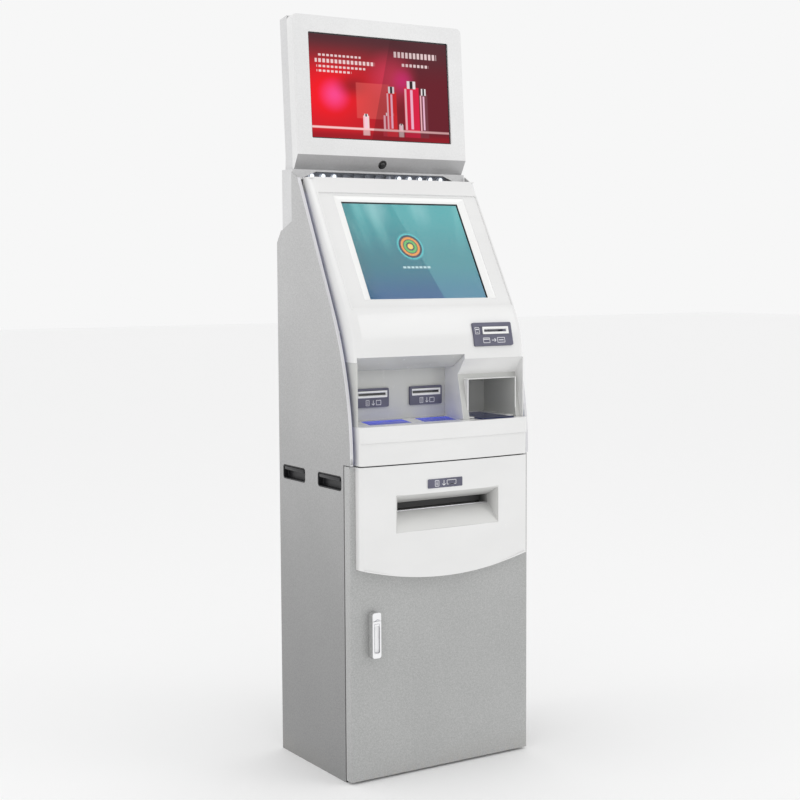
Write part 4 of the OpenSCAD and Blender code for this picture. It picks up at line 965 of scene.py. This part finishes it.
def equipment_details():
    for node, width, finish in (
            ("computer", 1.0, CASE), ("power_supply", 1.0, ZINC), ("document_printer", 3.0, PRINTER),
            ("paper_cassette", 1.5, PRINTER), ("card_reader", 1.0, CASE), ("document_reader", 1.0, CASE)):
        softened(node, width * MM, finish)
    fittings("computer", "cabinet", (
        ("computer_drive_cover", 0.10, 0.012, 0.105, 0.030, 1.6 * MM, "black_plastic", BLACK),
        ("computer_start_button", 0.135, -0.025, 0.012, 0.012, 2.0 * MM, "steel", STEEL),
        ("computer_port_block", 0.095, -0.025, 0.034, 0.014, 1.0 * MM, "black_plastic", GLOSS_BLACK)))
    fittings("document_printer", "cabinet", (
        ("printer_key_panel", 0.145, 0.040, 0.060, 0.030, 1.6 * MM, "black_plastic", BLACK),
        ("printer_feed_key", 0.132, 0.040, 0.012, 0.012, 3.0 * MM, "printer_shell", PRINTER),
        ("printer_stop_key", 0.150, 0.040, 0.012, 0.012, 3.0 * MM, "red_plastic", RED),
        ("printer_ready_light", 0.166, 0.040, 0.005, 0.005, 2.4 * MM, "lamp", GREEN_LIGHT),
        ("printer_front_cover", -0.150, 0.010, 0.055, 0.110, 1.6 * MM, "printer_shell", PRINTER)))


# ---------------------------------------------------------------- stage, light and camera

def set_stage():
    floor = begin("plane", "studio_floor", size=60)
    floor.data.materials.append(finish_of("studio_floor_paint", floor_paint))
    world = bpy.data.worlds.new("studio")
    bpy.context.scene.world = world
    world.use_nodes = True
    back = world.node_tree.nodes["Background"]
    back.inputs[0].default_value = (1.0, 1.0, 1.0, 1.0)
    back.inputs[1].default_value = 0.93
    bpy.context.scene.view_settings.view_transform = "Standard"


def soft_light(name, place, aim, size, power):
    lamp = bpy.data.lights.new(name, "AREA")
    lamp.shape, lamp.size, lamp.size_y = "RECTANGLE", size[0], size[1]
    lamp.energy = power
    made = bpy.data.objects.new(name, lamp)
    bpy.context.scene.collection.objects.link(made)
    made.location = place
    made.rotation_euler = (Vector(aim) - Vector(place)).to_track_quat("-Z", "Y").to_euler()


def set_lights():
    soft_light("key_from_right", (2.6, -3.2, 3.6), (0, 0, 1.1), (1.8, 2.0), 16)
    soft_light("left_top", (-2.6, 0.4, 3.0), (-0.26, 0, 1.3), (1.2, 1.2), 8)


def set_camera():
    """Looks at the kiosk from its left front, a little above its middle."""
    camera = bpy.data.cameras.new("view")
    made = bpy.data.objects.new("view", camera)
    bpy.context.scene.collection.objects.link(made)
    bpy.context.scene.camera = made
    turn, dip, roll = math.radians(32.3), math.radians(4.8), math.radians(-0.3)
    ahead = Vector((math.sin(turn) * math.cos(dip), math.cos(turn) * math.cos(dip), -math.sin(dip)))
    right = ahead.cross(Vector((0, 0, 1))).normalized()
    up = right.cross(ahead)
    right, up = right * math.cos(roll) + up * math.sin(roll), up * math.cos(roll) - right * math.sin(roll)
    place = Matrix.Translation((-2.0417, -3.1986, 1.2198))
    made.matrix_world = place @ Matrix((right, up, -ahead)).transposed().to_4x4()
    camera.sensor_width = 36
    camera.lens = 68.1
    camera.clip_end = 100


set_camera()
dress_nodes()
mouldings_and_panels()
touch_screen()
upper_screen()
card_entry()
receipt_exits()
document_exit()
door_lock()
side_pulls()
camera_eye()
equipment_details()
set_stage()
set_lights()
